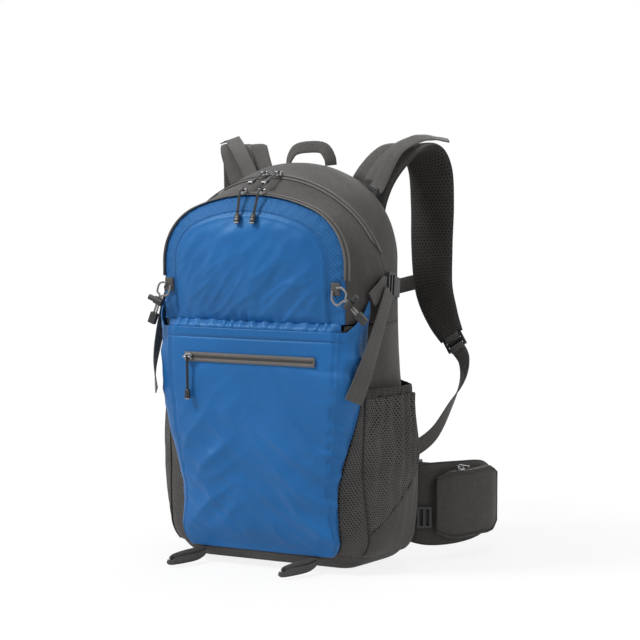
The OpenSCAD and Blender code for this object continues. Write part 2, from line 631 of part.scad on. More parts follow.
// Compression straps across the sides at the wing's tip
comp_z = hem_z + 54;
comp_x = half_w + 4.2;
comp_y = lerp(y_back, y_front, 0.55);
comp_turn = 7;
comp_front = comp_y - lock_l / 2 - 0.6;
// Points along the webbing's way through the ladder lock
function comp_at(d) = [half_w + 3, comp_y - d * cos(comp_turn), comp_z + d * sin(comp_turn)];
function on_side(v, z) = [side_x(v, z) + seam + web_t / 2 + 0.7, lerp(y_back, y_front, v), z];
comp_rear_pts = [on_side(0.05, comp_z - 8), on_side(0.14, comp_z - 7), on_side(0.3, comp_z - 5),
    comp_at(-lock_l / 2 - 7), comp_at(-lock_l / 2 - 0.7)];
comp_front_pts = [comp_at(lock_l / 2 + 1.4), comp_at(lock_l / 2 + 9),
    [half_w + 2.2, comp_front - 18, comp_z - 5], [half_w - 1.2, edge_y(340) - 1, comp_z - 15]];
comp_tail_pts = [[half_w + 7.3, comp_front - 0.4, comp_z - 6], [half_w + 7, comp_front - 20, comp_z - 36],
    [half_w + 4, comp_front - 42, comp_z - 76], [half_w - 0.5, comp_front - 58, comp_z - 108],
    [half_w - 9, comp_front - 68, comp_z - 138]];
comp_tail_dirs = [[0, 0.92, -0.38], [0.2, 0.88, -0.4], [0.55, 0.72, -0.4]];
module compression_buckles() {
    both() oriented([comp_x, comp_y, comp_z], [0, sin(comp_turn), cos(comp_turn)],
        [0, -cos(comp_turn), sin(comp_turn)]) ladder_lock(web_w);
}
module compression_straps() {
    color(c_web) both() {
        ribbon(path(comp_rear_pts, 2), [0, 0.1, 1], web_w, web_t);
        ribbon(path(comp_front_pts, 3), [0, 0.2, 1], web_w * 0.8, web_t);
        turned_ribbon(path(comp_tail_pts, 3), comp_tail_dirs, web_w, web_t);
    }
}

// Haul loop at the top of the back
haul_y = y_back - 12;
haul_z = body_h - 3.5;
haul_pts = [[-30, haul_y, haul_z], [-30, haul_y, haul_z + haul_rise * 0.4],
    [-22, haul_y, haul_z + haul_rise * 0.86], [0, haul_y, haul_z + haul_rise],
    [22, haul_y, haul_z + haul_rise * 0.86], [30, haul_y, haul_z + haul_rise * 0.4], [30, haul_y, haul_z]];
module haul_loop() {
    color(c_web) pad_ribbon(path(haul_pts, 2), [[0, 1, 0], [0, 0.75, 0.66], [0, 1, 0]], [20, 20], [4.4, 4.4]);
}

// Shoulder straps: centre line by hand, from the root on the back wall to the lower end
root_y = rear_y + 5.6;
strap_pts = [[70, root_y, body_h - 88], [72, root_y + 2, body_h - 52], [82, root_y + 20, body_h - 16],
    [100, root_y + 52, body_h + 15], [117, root_y + 80, body_h + 17], [126, root_y + 96, body_h - 8],
    [128, root_y + 100, body_h - 56], [128, root_y + 98, body_h - 110], [133, root_y + 91, body_h - 165],
    [149, root_y + 81, body_h - 203], [167, root_y + 70, body_h - 228]];
// Outward splay of the right and the left strap from its root
splay = [-6, 38];
function strap_path(f) = path([for (i = [0:len(strap_pts) - 1])
    strap_pts[i] + [f * smooth(i / 3) * (1 - 0.5 * smooth((i - 6) / 4)), 0, 0]], 3);
strap_ws = [strap_w * 0.86, strap_w * 0.96, strap_w, strap_w, strap_w, strap_w * 0.97, strap_w * 0.9,
    strap_w * 0.74, strap_w * 0.52];
strap_ts = [9, strap_t * 0.85, strap_t, strap_t, strap_t, strap_t, strap_t, strap_t * 0.9, strap_t * 0.7];
strap_dirs = [[1, 0, 0], [1, 0, 0], [1, 0, 0], [1, 0, 0.15]];
module strap(f) {
    pad_ribbon(strap_path(f), strap_dirs, strap_ws, strap_ts);
}
module shoulder_strap_right() {
    color(c_mesh) strap(splay[0]);
}
module shoulder_strap_left() {
    color(c_mesh) mirror([1, 0, 0]) strap(splay[1]);
}
module pair(f) {
    $f = f[0];
    children();
    mirror([1, 0, 0]) let ($f = f[1]) children();
}

// Load lifters from the top of the bag to the straps
lift_v = 0.086;
lift_w = 0.305;
lift_a = arc_angle(lift_w, lift_v);
lift_p = form(lift_w, lift_v, 3);
function turn_y(p, a) = [p[0] * cos(a) + p[2] * sin(a), p[1], -p[0] * sin(a) + p[2] * cos(a)];
lift_x = turn_y([1, 0, 0], lift_a);
lift_y = turn_y([0, cos(14), -sin(14)], lift_a);
function lift_pts(f) = [lift_p + lift_y * (lock_l / 2 + 1), lift_p + lift_y * (lock_l / 2 + 12) + [2, 0, 4],
    [106 + f * 0.6, root_y + 24, body_h + 14], [122 + f * 0.9, root_y + 54, body_h + 30],
    [134 + f * 0.9, root_y + 72, body_h + 33], [146 + f * 0.9, root_y + 84, body_h + 31],
    [155 + f * 0.9, root_y + 90, body_h + 29]];
module load_lifter_straps() {
    color(c_web) pair(splay) ribbon(path(lift_pts($f), 3), [1, 0, -0.3], web_s, web_t);
}
// Shoulder adjusters hang from the strap ends, with webbing to the back wall
function strap_end(f) = let (p = strap_path(f), n = len(p) - 1)
    [p[n], across(p, n, [1, 0, 0.15]), tangent(p, n)];
function adjuster(f) = let (e = strap_end(f)) e[0] + e[2] * (lock_l / 2 + 0.6);
function low_pts(f) = let (e = strap_end(f), a = adjuster(f), b = a + e[2] * (lock_l / 2 + 20))
    [a + e[2] * (lock_l / 2 + 0.8), b, b + [2, -9, -24], [176, root_y + 40, 196], [160, root_y + 20, 158],
    [137, rear_y + 4, 138], [106, rear_y + 1.1, 133]];
low_dirs = [[1, 0, 0.15], [0.85, -0.4, 0.2], [0.55, -0.65, 0.45], [0.1, -0.5, 0.85], [0, 0, 1], [0, 0, 1]];
module ladder_locks() {
    pair(splay) {
        oriented(lift_p, lift_x, lift_y) ladder_lock(web_s);
        oriented(adjuster($f), strap_end($f)[1], strap_end($f)[2]) ladder_lock(web_s);
    }
}
module lower_webbing() {
    color(c_web) pair(splay) turned_ribbon(path(low_pts($f), 6), low_dirs, web_s, web_t);
}

// Sternum strap lies on the outside of both shoulder straps
chest_y = root_y + 100;
chest_z = body_h - 172;
function chest_pts(f) = [[116 + f * 0.9, chest_y + 1, chest_z + 14], [98 + f * 0.9, chest_y + 2, chest_z + 11],
    [62 + f * 0.4, chest_y + 3, chest_z + 3], [29.5, chest_y + 3, chest_z]];
module chest_web(f) {
    ribbon(path(chest_pts(f), 3), [0, 0, 1], web_s, web_t);
}
module sternum_webbing_right() {
    color(c_web) chest_web(splay[0]);
}
module sternum_webbing_left() {
    color(c_web) mirror([1, 0, 0]) chest_web(splay[1]);
}
module buckle_socket(w, l, t) {
    color(c_black) difference() {
        translate([-l, -t / 2, -w / 2 - 3]) cube([l, t, w + 6]);
        translate([-l + 5, -t / 2 + 1.8, -w / 2]) cube([l, t - 3.6, w]);
    }
}
module buckle_plug(w, l, t, deep) {
    color(c_black) {
        translate([0.4, -t / 2, -w / 2 - 3]) cube([l, t, w + 6]);
        for (z = [-w / 2 + 0.6, -2.5, w / 2 - 5.6]) translate([-deep, -t / 2 + 2.2, z])
            cube([deep + 1, t - 4.4, 5]);
    }
}
module sternum_socket() {
    translate([0, chest_y + 3, chest_z]) buckle_socket(web_s, 29, 9);
}
module sternum_plug() {
    translate([0, chest_y + 3, chest_z]) buckle_plug(web_s, 28.5, 9, 16);
}

// Tool loops at the foot of the front
module tool_loop(x) {
    o = [x, depth_y(1, 15) - 0.7, 0];
    d = [-0.36, -0.93, 0];
    pts = [o + [0, 0, 16.4], o + d * 12 + [0, 0, 17], o + d * 34 + [0, 0, 16], o + d * 52 + [0, 0, 12],
        o + d * 57 + [0, 0, 7.2], o + d * 52 + [0, 0, 2.6], o + d * 34 + [0, 0, 1.4], o + d * 14 + [0, 0, 4],
        o + d * 4 + [0, 0, 11], o + d * 0.6 + [0, 0, 13.6]];
    ribbon(path(pts, 2), [0.93, -0.36, 0], 12, web_t);
}
module tool_loops() {
    color(c_web) {
        tool_loop(-82);
        tool_loop(78);
    }
}

// Hip belt: padded wings that swing at their roots
wing_z = 68;
wing_y = rear_y + 0.4 * wing_t + 0.05;
wing_x = half_w - 17;
wing_pts = [[wing_x, wing_y, wing_z], [wing_x + 17, wing_y + 3, wing_z], [wing_x + 37, wing_y + 18, wing_z],
    [wing_x + 55, wing_y + 45, wing_z], [wing_x + 65, wing_y + 78, wing_z], [wing_x + 68, wing_y + 106, wing_z],
    [wing_x + 63, wing_y + 132, wing_z]];
wing_path = path(wing_pts, 4);
function beside(p, i, d) = p[i] + unit(cross(tangent(p, i), [0, 0, 1])) * d;
module wing() {
    pad_ribbon(wing_path, [[0, 0, 1], [0, 0, 1]], [wing_h * 0.9, wing_h, wing_h, wing_h * 0.9, wing_h * 0.6],
        [wing_t * 0.8, wing_t, wing_t, wing_t, wing_t * 0.7]);
}
pocket_d = wing_t / 2 + belt_pocket_t / 2 + 0.4;
pocket_path = [for (i = [7:20]) beside(wing_path, i, pocket_d)];
pocket_h = wing_h * 0.84;
module belt_pocket() {
    pad_ribbon(pocket_path, [[0, 0, 1], [0, 0, 1]],
        pocket_h * [0.82, 1, 1, 1, 1, 0.8], belt_pocket_t * [0.5, 1, 1, 1, 1, 0.45]);
}
module hip_wing_right() {
    color(c_gray) wing();
}
module hip_wing_left() {
    color(c_gray) mirror([1, 0, 0]) wing();
}
module hip_pocket_right() {
    color(c_gray) belt_pocket();
}
module hip_pocket_left() {
    color(c_gray) mirror([1, 0, 0]) belt_pocket();
}
// Ladder lock on the outside of each wing, near its root
hip_lock_i = 5;
module wing_lock() {
    oriented(beside(wing_path, hip_lock_i, wing_t / 2 + 2.4) - [0, 0, 16], [0, 0, -1],
        tangent(wing_path, hip_lock_i)) ladder_lock(web_s);
}
module hip_lock_right() {
    wing_lock();
}
module hip_lock_left() {
    mirror([1, 0, 0]) wing_lock();
}
// Slider on the straight run along the pocket's top
hip_a = pocket_path[4];
hip_b = pocket_path[10];
hip_dir = unit(hip_b - hip_a);
module hip_slider() {
    oriented([hip_a[0], hip_a[1], wing_z + 0.489 * pocket_h + 0.9], hip_dir, [-hip_dir[1], hip_dir[0], 0]) {
        slider();
        color(c_metal) translate([-1.2, -15, bail_z + bail_r - 0.4]) cube([2.4, 16.2, 1.6]);
    }
}
module hip_zip_slider_right() {
    hip_slider();
}
module hip_zip_slider_left() {
    mirror([1, 0, 0]) hip_slider();
}
// Belt webbing: the unbuckled ends hang at two heights, so that the wings can fold past each other
wing_tip = wing_path[24];
wing_end = tangent(wing_path, 24);
function belt_web(d) = [wing_tip + wing_end * 1.4, wing_tip + wing_end * 14,
    [wing_x + 50, wing_y + 156, wing_z + d[0]],
    [wing_x + 22, wing_y + 172, wing_z + d[1]], [wing_x - 20, wing_y + 182, wing_z + d[2]],
    [wing_x - 62, wing_y + 186, wing_z + d[2]]];
belt_drop = [[4, 10, 12], [-12, -28, -34]];
module hip_webbing_right() {
    color(c_web) ribbon(path(belt_web(belt_drop[0]), 5), [0, 0, 1], web_w, web_t);
}
module hip_webbing_left() {
    color(c_web) mirror([1, 0, 0]) ribbon(path(belt_web(belt_drop[1]), 5), [0, 0, 1], web_w, web_t);
}
belt_x = wing_x - 62;
belt_y = wing_y + 186;
module hip_buckle_socket() {
    translate([-belt_x + 0.5 + 34, belt_y, wing_z + belt_drop[1][2]]) buckle_socket(web_w, 34, 11);
}
module hip_buckle_plug() {
    translate([belt_x - 0.9 - 30, belt_y, wing_z + belt_drop[0][2]]) buckle_plug(web_w, 30, 11, 20);
}

upper_gusset();
side_panel_left();
side_panel_right();
base_panel();
back_wall();
lower_front();
frame_sheet();
back_pads();
stash_pocket();
stash_zip();
side_pocket_left();
side_pocket_right();
compression_straps();
compression_buckles();
haul_loop();
shoulder_strap_left();
shoulder_strap_right();
load_lifter_straps();
ladder_locks();
lower_webbing();
sternum_webbing_left();
sternum_webbing_right();
sternum_socket();
sternum_plug();
tool_loops();
main_zip_rear_tape();
flap_gusset();
flap_divider();
flap_zip_tapes();
main_zip_slider_left();
main_zip_slider_right();
main_zip_pull_left();
main_zip_pull_right();
front_panel();
panel_zip_front_tape();
panel_zip_slider_left();
panel_zip_slider_right();
panel_zip_pull_left();
panel_zip_pull_right();
bungee_tabs();
bungee_cord_left();
bungee_cord_right();
cord_lock_barrels();
cord_lock_button_left();
cord_lock_button_right();
cord_ends();
stash_zip_slider();
stash_zip_pull();
hip_wing_left();
hip_wing_right();
hip_pocket_left();
hip_pocket_right();
hip_lock_left();
hip_lock_right();
hip_zip_slider_left();
hip_zip_slider_right();
hip_webbing_left();
hip_webbing_right();
hip_buckle_socket();
hip_buckle_plug();
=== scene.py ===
"""Looks of a hiking daypack: cloth, padding, webbing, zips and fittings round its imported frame."""

import math

import bmesh
import bpy
import numpy as np
from bpy.props import FloatProperty, FloatVectorProperty, PointerProperty
from mathutils import Matrix, Vector, noise


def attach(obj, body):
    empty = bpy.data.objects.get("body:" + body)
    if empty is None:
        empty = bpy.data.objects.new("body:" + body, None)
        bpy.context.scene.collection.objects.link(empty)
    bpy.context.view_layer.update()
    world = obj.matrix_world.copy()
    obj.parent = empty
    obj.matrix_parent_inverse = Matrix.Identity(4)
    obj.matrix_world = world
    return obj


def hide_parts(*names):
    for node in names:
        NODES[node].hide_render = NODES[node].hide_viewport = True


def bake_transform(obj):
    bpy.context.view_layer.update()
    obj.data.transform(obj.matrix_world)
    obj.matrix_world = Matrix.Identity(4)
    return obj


bl_info = {
    "name": "Hiking daypack",
    "version": (1, 0, 0),
    "blender": (4, 5, 0),
    "location": "View3D > Sidebar > Daypack",
    "description": "Builds the cloth, padding, webbing and fittings of a hiking daypack",
    "category": "Add Mesh",
}

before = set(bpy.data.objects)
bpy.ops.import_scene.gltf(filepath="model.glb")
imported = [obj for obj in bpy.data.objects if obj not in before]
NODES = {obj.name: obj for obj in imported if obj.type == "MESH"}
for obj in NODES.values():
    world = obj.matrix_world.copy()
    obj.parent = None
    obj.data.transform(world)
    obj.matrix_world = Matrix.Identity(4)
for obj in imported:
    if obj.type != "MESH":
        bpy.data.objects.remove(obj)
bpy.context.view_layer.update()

# Sizes of the bag's form in millimetres, as in the part's source
MM = 0.001
BODY_W, BODY_H, BODY_D = 298.0, 510.0, 162.0
PANEL_W, PANEL_H, PANEL_SWELL = 254.0, 470.0, 21.0
ZIP_LEAN, FOLD_Z, WALL, SEAM = 7.5, 312.0, 2.4, 0.3
HEM_Z, STASH_GAP, STASH_LO, TIP_RISE = 304.0, 7.0, 22.0, 37.0
MESH_Z, MESH_SWELL, MESH_T, MESH_HEM = 222.0, 20.0, 1.6, 11.0
TAPE_W, TAPE_T, STASH_ZIP_L = 6.0, 1.2, 184.0
STRAP_W, STRAP_T, WEB_W, WEB_S, WEB_T = 62.0, 13.0, 25.0, 20.0, 1.6
WING_H, WING_T, BELT_POCKET_T, HAUL_RISE = 106.0, 9.0, 15.0, 29.0
BUNGEE_D, LOCK_L = 2.6, 19.4
HALF_W = BODY_W / 2
Y_BACK = BODY_D / 2 - 1
Y_FRONT = Y_BACK - BODY_D
V_ZIP = 0.59
TOE_IN = 20.0
LOW_Z, BLEND_Z = 90.0, 240.0
STASH_ZIP_Z = HEM_Z - 37
REAR_Y = Y_BACK + 2 * SEAM + WALL
ROOT_Y = REAR_Y + 5.6
ZIP_TOP = PANEL_H + 0.55 * (BODY_H - PANEL_H)
SIDES = (("right", 1), ("left", -1))

# Stops of u round the skin: just beside the top, end of the crown, spring of the arch, fold, foot and floor
TOP_U, CROWN_U, SPRING_U, FOLD_U, FOOT_U, FLOOR_U = 0.004, 0.25, 0.42, 0.5, 0.8, 0.92

# Half width above and below the fold, arch and base along the depth of the bag
UP_W = [(0, HALF_W - 32), (0.06, HALF_W - 24), (0.16, HALF_W - 15), (0.3, HALF_W - 6),
        (0.45, HALF_W - 0.5), (V_ZIP, HALF_W), (0.8, HALF_W - 9), (0.92, HALF_W - 17), (1, PANEL_W / 2)]
LOW_W = [(0, HALF_W - 17), (0.06, HALF_W - 8), (0.16, HALF_W - 1), (0.4, HALF_W + 1),
         (0.6, HALF_W - 2), (0.8, HALF_W - 12), (0.9, HALF_W - 24), (1, HALF_W - 46)]
TOP_Z = [(0, BODY_H - 13), (0.06, BODY_H - 4), (0.16, BODY_H), (0.3, BODY_H - 1),
         (V_ZIP, ZIP_TOP), (1, PANEL_H)]
SPRING_Z = [(0, BODY_H - 0.82 * HALF_W), (0.3, BODY_H - 0.84 * HALF_W),
            (V_ZIP, ZIP_TOP - 0.9 * HALF_W), (1, PANEL_H - 0.33 * PANEL_W)]
CROWN_K = [(0, 1.16), (0.3, 1.1), (V_ZIP, 1.06), (1, 1.66)]
LEAN_A = [(0, 0), (0.3, ZIP_LEAN * 0.5), (V_ZIP, ZIP_LEAN), (1, 0)]
BASE_Z = [(0, 12), (0.04, 6), (0.09, 2), (0.15, 0), (0.66, 0), (0.74, 2), (0.82, 6), (0.9, 11), (1, 19)]
BASE_R = [(0, 34), (0.5, 50), (0.8, 44), (1, 22)]

# Depth of the stash pocket's side edges by height
EDGE_V = [(0, 0.97), (60, 0.985), (105, 0.985), (150, 0.95), (215, 0.87), (305, 0.81), (345, 0.81)]


def lerp(a, b, t):
    return a + (b - a) * t


def smooth(t):
    s = np.clip(t, 0, 1)
    return s * s * (3 - 2 * s)


def bell(x, width, power=2):
    """1 where x is 0, fading to nothing at about twice the width."""
    return np.exp(-(x / width) ** power)


def unit(v):
    return v / np.linalg.norm(v, axis=-1, keepdims=True)


def grid(a, b):
    return np.meshgrid(a, b, indexing="ij")


def points_at(x, y, z):
    """Points from their coordinates, where a single value holds for all of them."""
    return np.stack(np.broadcast_arrays(x, y, z), -1)


def hermite(p, q, m, s, t):
    """Cubic from p to q with the slopes m and s at its ends, at t between 0 and 1."""
    return p + t * m + t * t * (3 * (q - p) - 2 * m - s) + t**3 * (2 * (p - q) + m + s)


def at(x, knots):
    """Smooth curve through the knots, as the part's source draws it."""
    k = np.array(knots, float)
    xs, ys = k[:, 0], k[:, 1]
    n = len(xs)
    lo, hi = np.maximum(np.arange(n) - 1, 0), np.minimum(np.arange(n) + 1, n - 1)
    slopes = (ys[hi] - ys[lo]) / (xs[hi] - xs[lo])
    i = np.clip(np.searchsorted(xs, x, side="right") - 1, 0, n - 2)
    d = xs[i + 1] - xs[i]
    t = np.clip((x - xs[i]) / d, 0, 1)
    return hermite(ys[i], ys[i + 1], slopes[i] * d, slopes[i + 1] * d, t)


def look(x, knots):
    return np.interp(x, [k[0] for k in knots], [k[1] for k in knots])


def side_x(v, z):
    """Half width of the bag's sides at a depth and a height."""
    return lerp(at(v, LOW_W), at(v, UP_W), smooth((z - LOW_Z) / BLEND_Z))


def depth_y(v, z):
    below = np.clip(1 - np.maximum(z, 0) / FOLD_Z, 0, 1)
    return lerp(Y_BACK, Y_FRONT, v) + v**4 * TOE_IN * below**1.2


def arch(v):
    """Half width, rise, crown radius, shoulder radius and crown angle of the arch at a depth."""
    a = at(v, UP_W)
    rise = (at(v, TOP_Z) - at(v, SPRING_Z)) / np.cos(np.radians(at(v, LEAN_A)))
    crown = at(v, CROWN_K) * a
    shoulder = (2 * crown * rise - a * a - rise * rise) / (2 * (crown - a))
    return a, rise, crown, shoulder, np.arcsin((a - shoulder) / (crown - shoulder))


def form(u, v, off=0.0):
    """Point of the bag's skin: u runs from the top (0) over the side (0.5 at the fold) to the base (1)."""
    u, v, off = np.broadcast_arrays(*[np.asarray(k, float) for k in (u, v, off)])
    w, s = np.abs(u), np.sign(u)
    a, rise, r1, r2, al = arch(v)
    zs, lean = at(v, SPRING_Z), np.radians(at(v, LEAN_A))
    y = depth_y(v, zs)
    zb, rb = look(v, BASE_Z), at(v, BASE_R)
    top, corner, side, low, bend = (w <= stop for stop in (CROWN_U, SPRING_U, FOLD_U, FOOT_U, FLOOR_U))
    f = np.where(top, al * w / CROWN_U, al + (math.pi / 2 - al) * (w - CROWN_U) / (SPRING_U - CROWN_U))
    up = np.where(top, rise - r1 + (r1 + off) * np.cos(f), (r2 + off) * np.cos(f))
    z_side = lerp(zs, FOLD_Z, (w - SPRING_U) / (FOLD_U - SPRING_U))
    z_low = lerp(FOLD_Z, zb + rb, (w - FOLD_U) / (FOOT_U - FOLD_U))
    g = math.pi / 2 * (w - FOOT_U) / (FLOOR_U - FOOT_U)
    z_bend = zb + rb - (rb + off) * np.sin(g)
    foot = side_x(v, zb + rb) - rb
    cases = [top, corner, side, low, bend]
    x = np.select(cases, [(r1 + off) * np.sin(f), a - r2 + (r2 + off) * np.sin(f),
                          side_x(v, z_side) + off, side_x(v, z_low) + off, foot + (rb + off) * np.cos(g)],
                  foot * (1 - w) / (1 - FLOOR_U))
    yy = np.select(cases, [y - up * np.sin(lean), y - up * np.sin(lean), y, depth_y(v, z_low),
                           depth_y(v, z_bend)], depth_y(v, zb - off))
    z = np.select(cases, [zs + up * np.cos(lean), zs + up * np.cos(lean), z_side, z_low, z_bend], zb - off)
    return np.stack([s * x, yy, z], -1)


def w_of(z, v):
    """Value of u on the side below the fold at a height."""
    return FOLD_U + (FOOT_U - FOLD_U) * (FOLD_Z - z) / (FOLD_Z - look(v, BASE_Z) - at(v, BASE_R))


def body_x(v, z):
    """Half width of the bag at a depth and a height, with its rounded foot."""
    zb, rb = look(v, BASE_Z), at(v, BASE_R)
    d = np.maximum(0, zb + rb - z)
    return side_x(v, np.maximum(z, zb + rb)) - rb + np.sqrt(np.maximum(0, rb * rb - d * d))


# Stash pocket, side pocket and front panel, as in the part's source
# Start of the stash pocket's raised tips, and the shares of q and of the half width that its front takes
TIP_Q, FRONT_Q, FRONT_X = 0.62, 0.6, 0.9


def front_y(z):
    return depth_y(np.float64(1), z) - SEAM


def edge_x(z):
    return body_x(at(z, EDGE_V), z) + SEAM + 2.9 * smooth((z - FOLD_Z + 4) / 20)


def stash_y(z):
    return (front_y(z) - WALL - SEAM - 1 - STASH_GAP * smooth((z - STASH_LO) / 70)
            - 5 * np.sin(math.pi * np.clip((z - STASH_LO) / (HEM_Z - STASH_LO), 0, 1)))


def stash(q, r, t):
    """Point of the stash pocket: q runs across it from -1 to 1, r up from its foot to its hem.

    Its level sections are superellipses, and their power n changes with the height.
    """
    w = np.abs(q)
    z = lerp(STASH_LO, HEM_Z + TIP_RISE * np.clip((w - TIP_Q) / (1 - TIP_Q), 0, 1) ** 0.9, r)
    xb, yb, yf = edge_x(z) + t, depth_y(at(z, EDGE_V), z), stash_y(z) - t
    n = np.where(z < 80, lerp(7, 3, smooth((z - 25) / 55)), lerp(3, 4.6, smooth((z - 80) / 180)))
    front, along = w <= FRONT_Q, FRONT_X * w / FRONT_Q
    beside_front = (1 - FRONT_X**n) ** (1 / n) * (1 - w) / (1 - FRONT_Q)
    g = np.where(front, (1 - np.minimum(along, 1) ** n) ** (1 / n), beside_front)
    x = np.where(front, xb * along, xb * (1 - np.minimum(g, 1) ** n) ** (1 / n))
    return points_at(np.sign(q) * x, yb + (yf - yb) * g, z)


MESH_W0, MESH_W1 = float(w_of(MESH_Z, 0.5)), 0.85


def mesh_pt(w, s, t):
    """Point of a mesh side pocket: w runs down from its hem, s back from the stash pocket's edge."""
    k = np.maximum((w - MESH_W0) / (MESH_W1 - MESH_W0), 0)
    swell = (MESH_SWELL * np.maximum(0, np.sin(math.pi * s**1.15)) ** 0.65
             * np.where(k < 0.35, lerp(0.72, 1, smooth(k / 0.35)),
                        np.maximum(0, 1 - ((k - 0.35) / 0.65) ** 2) ** 0.8))
    z = form(w, 0.9)[..., 2]
    return form(w, lerp(at(z, EDGE_V) - 0.012, 0.01, s), SEAM + t + swell)


def panel_belly(q, z):
    belly_h = 0.57 * (PANEL_H - FOLD_Z)
    t, s = (z - FOLD_Z) / belly_h, (z - FOLD_Z - belly_h) / (PANEL_H - FOLD_Z - belly_h)
    return (PANEL_SWELL * (1 - np.abs(q) ** 2.6)
            * np.where(t < 1, 1 - (1 - np.clip(t, 0, 1)) ** 2, 1 - np.clip(s, 0, 1) ** 2.4))


def spread(points, n):
    """Values of given control points at n places along a path."""
    p = np.array(points, float)
    t = np.linspace(0, len(p) - 1, n)
    i = np.minimum(t.astype(int), len(p) - 2)
    s = t - i
    if p.ndim > 1:
        s = s[:, None]
    a, b, c, d = p[np.maximum(i - 1, 0)], p[i], p[i + 1], p[np.minimum(i + 2, len(p) - 1)]
    return hermite(b, c, (c - a) / 2, (d - b) / 2, s)


def path(points, per):
    """Smooth line through given points, with per steps between two of them."""
    return spread(points, (len(points) - 1) * per + 1)


def tangents(p):
    d = np.empty_like(p)
    d[1:-1] = p[2:] - p[:-2]
    d[0], d[-1] = p[1] - p[0], p[-1] - p[-2]
    return unit(d)


def across(p, dirs):
    """Width direction of a strap along a path, square to the path."""
    g = tangents(p)
    return unit(dirs - g * np.sum(dirs * g, axis=1)[:, None])


def length_along(p):
    """Length of a line of points up to each of them."""
    return np.concatenate([[0], np.cumsum(np.linalg.norm(np.diff(p, axis=0), axis=1))])


def squared_off(c, power):
    """Cosine or sine of a ring, drawn out so that the ring turns into a rounded square."""
    return np.sign(c) * np.abs(c) ** power


def clouds(points, size, seed):
    """Soft noise between -1 and 1 at points in millimetres, with features of the given size."""
    flat = np.asarray(points, float).reshape(-1, 3) / size + seed
    return np.array([noise.noise(Vector(p)) for p in flat]).reshape(np.asarray(points).shape[:-1])


def creases(points, size, seed):
    """Narrow rounded ridges between 0 and 1, as in pulled cloth."""
    return (1 - np.minimum(1, 1.6 * np.abs(clouds(points, size, seed)))) ** 2


def slanted(points, lean, along):
    """Points turned onto a slant and drawn in along it, so that folds in their noise run that way."""
    x, y, z = np.moveaxis(points, -1, 0)
    return points_at((x + lean * z) * along, y, z - lean * x)


# Meshes
FINISH = {}


def new_object(name, verts_mm, faces, finishes, uvs, picks):
    """Object at the origin from points in millimetres, smooth shaded, with a UV map in metres."""
    mesh = bpy.data.meshes.new(name)
    mesh.from_pydata([tuple(v) for v in np.asarray(verts_mm, float) * MM], [], faces)
    layer = mesh.uv_layers.new(name="UVMap")
    index = np.empty(len(mesh.loops), np.int32)
    mesh.loops.foreach_get("vertex_index", index)
    layer.data.foreach_set("uv", (np.asarray(uvs, float)[index] * MM).astype(np.float32).ravel())
    for key in finishes:
        mesh.materials.append(FINISH[key])
    if picks is not None:
        mesh.polygons.foreach_set("material_index", np.asarray(picks, np.int32))
    mesh.polygons.foreach_set("use_smooth", np.ones(len(mesh.polygons), bool))
    made = bmesh.new()
    made.from_mesh(mesh)
    bmesh.ops.recalc_face_normals(made, faces=made.faces)
    if made.calc_volume(signed=True) < 0:
        bmesh.ops.reverse_faces(made, faces=made.faces)
    made.to_mesh(mesh)
    made.free()
    obj = bpy.data.objects.new(name, mesh)
    bpy.context.scene.collection.objects.link(obj)
    return obj


def grid_uv(outer):
    """Lengths along a grid of points, in millimetres."""
    du = np.linalg.norm(np.diff(outer, axis=0), axis=2).mean(1)
    dv = np.linalg.norm(np.diff(outer, axis=1), axis=2).mean(0)
    u, v = np.concatenate([[0], np.cumsum(du)]), np.concatenate([[0], np.cumsum(dv)])
    return np.stack(grid(u - u[-1] / 2, v), -1)


def cell_mid(values):
    """Mean of the four corners of each grid cell."""
    return 0.25 * (values[:-1, :-1] + values[1:, :-1] + values[:-1, 1:] + values[1:, 1:])


def shell(name, outer, inner, finishes, pick=None, uv=None):
    """Closed cloth between two grids of points; pick gives each grid cell a finish."""
    m, n = outer.shape[:2]
    k = m * n
    cells = np.arange(k).reshape(m, n)
    a, b, c, d = cells[:-1, :-1], cells[:-1, 1:], cells[1:, 1:], cells[1:, :-1]
    top = np.stack([a, b, c, d], -1).reshape(-1, 4)
    low = np.stack([a, d, c, b], -1).reshape(-1, 4) + k
    loop = np.concatenate([cells[0, :], cells[1:, -1], cells[-1, -2::-1], cells[-2:0:-1, 0]])
    nxt = np.roll(loop, -1)
    rim = np.stack([loop, loop + k, nxt + k, nxt], -1)
    faces = np.concatenate([top, low, rim]).tolist()
    uvs = (grid_uv(outer) if uv is None else uv).reshape(-1, 2)
    picks = None
    if pick is not None:
        p = np.asarray(pick, np.int32)
        edge = [p[min(i // n, m - 2), min(i % n, n - 2)] for i in loop]
        picks = np.concatenate([p.ravel(), p.ravel(), edge])
    verts = np.concatenate([outer.reshape(-1, 3), inner.reshape(-1, 3)])
    return new_object(name, verts, faces, finishes, np.concatenate([uvs, uvs]), picks)


def rings_mesh(name, rings, finishes, uvs, pick=None):
    """Closed solid through a row of rings."""
    m, n = rings.shape[:2]
    cells = np.arange(m * n).reshape(m, n)
    nxt = np.roll(cells, -1, axis=1)
    walls = np.stack([cells[:-1], cells[1:], nxt[1:], nxt[:-1]], -1).reshape(-1, 4).tolist()
    caps = [cells[0].tolist()[::-1], cells[-1].tolist()]
    picks = None if pick is None else np.concatenate([np.asarray(pick).ravel(), [0, 0]])
    return new_object(name, rings.reshape(-1, 3), walls + caps, finishes, uvs.reshape(-1, 2), picks)


def strap_ring(w, t):
    """Cross-section of flat webbing with softly rounded edges."""
    e = min(0.7, t * 0.45)
    x = np.array([-w / 2, -w / 2 + e, -w / 6, w / 6, w / 2 - e, w / 2])
    top = np.array([0.15, 0.5, 0.5, 0.5, 0.5, 0.15]) * t
    return np.concatenate([np.stack([x, top], -1), np.stack([x[::-1], -top], -1)])


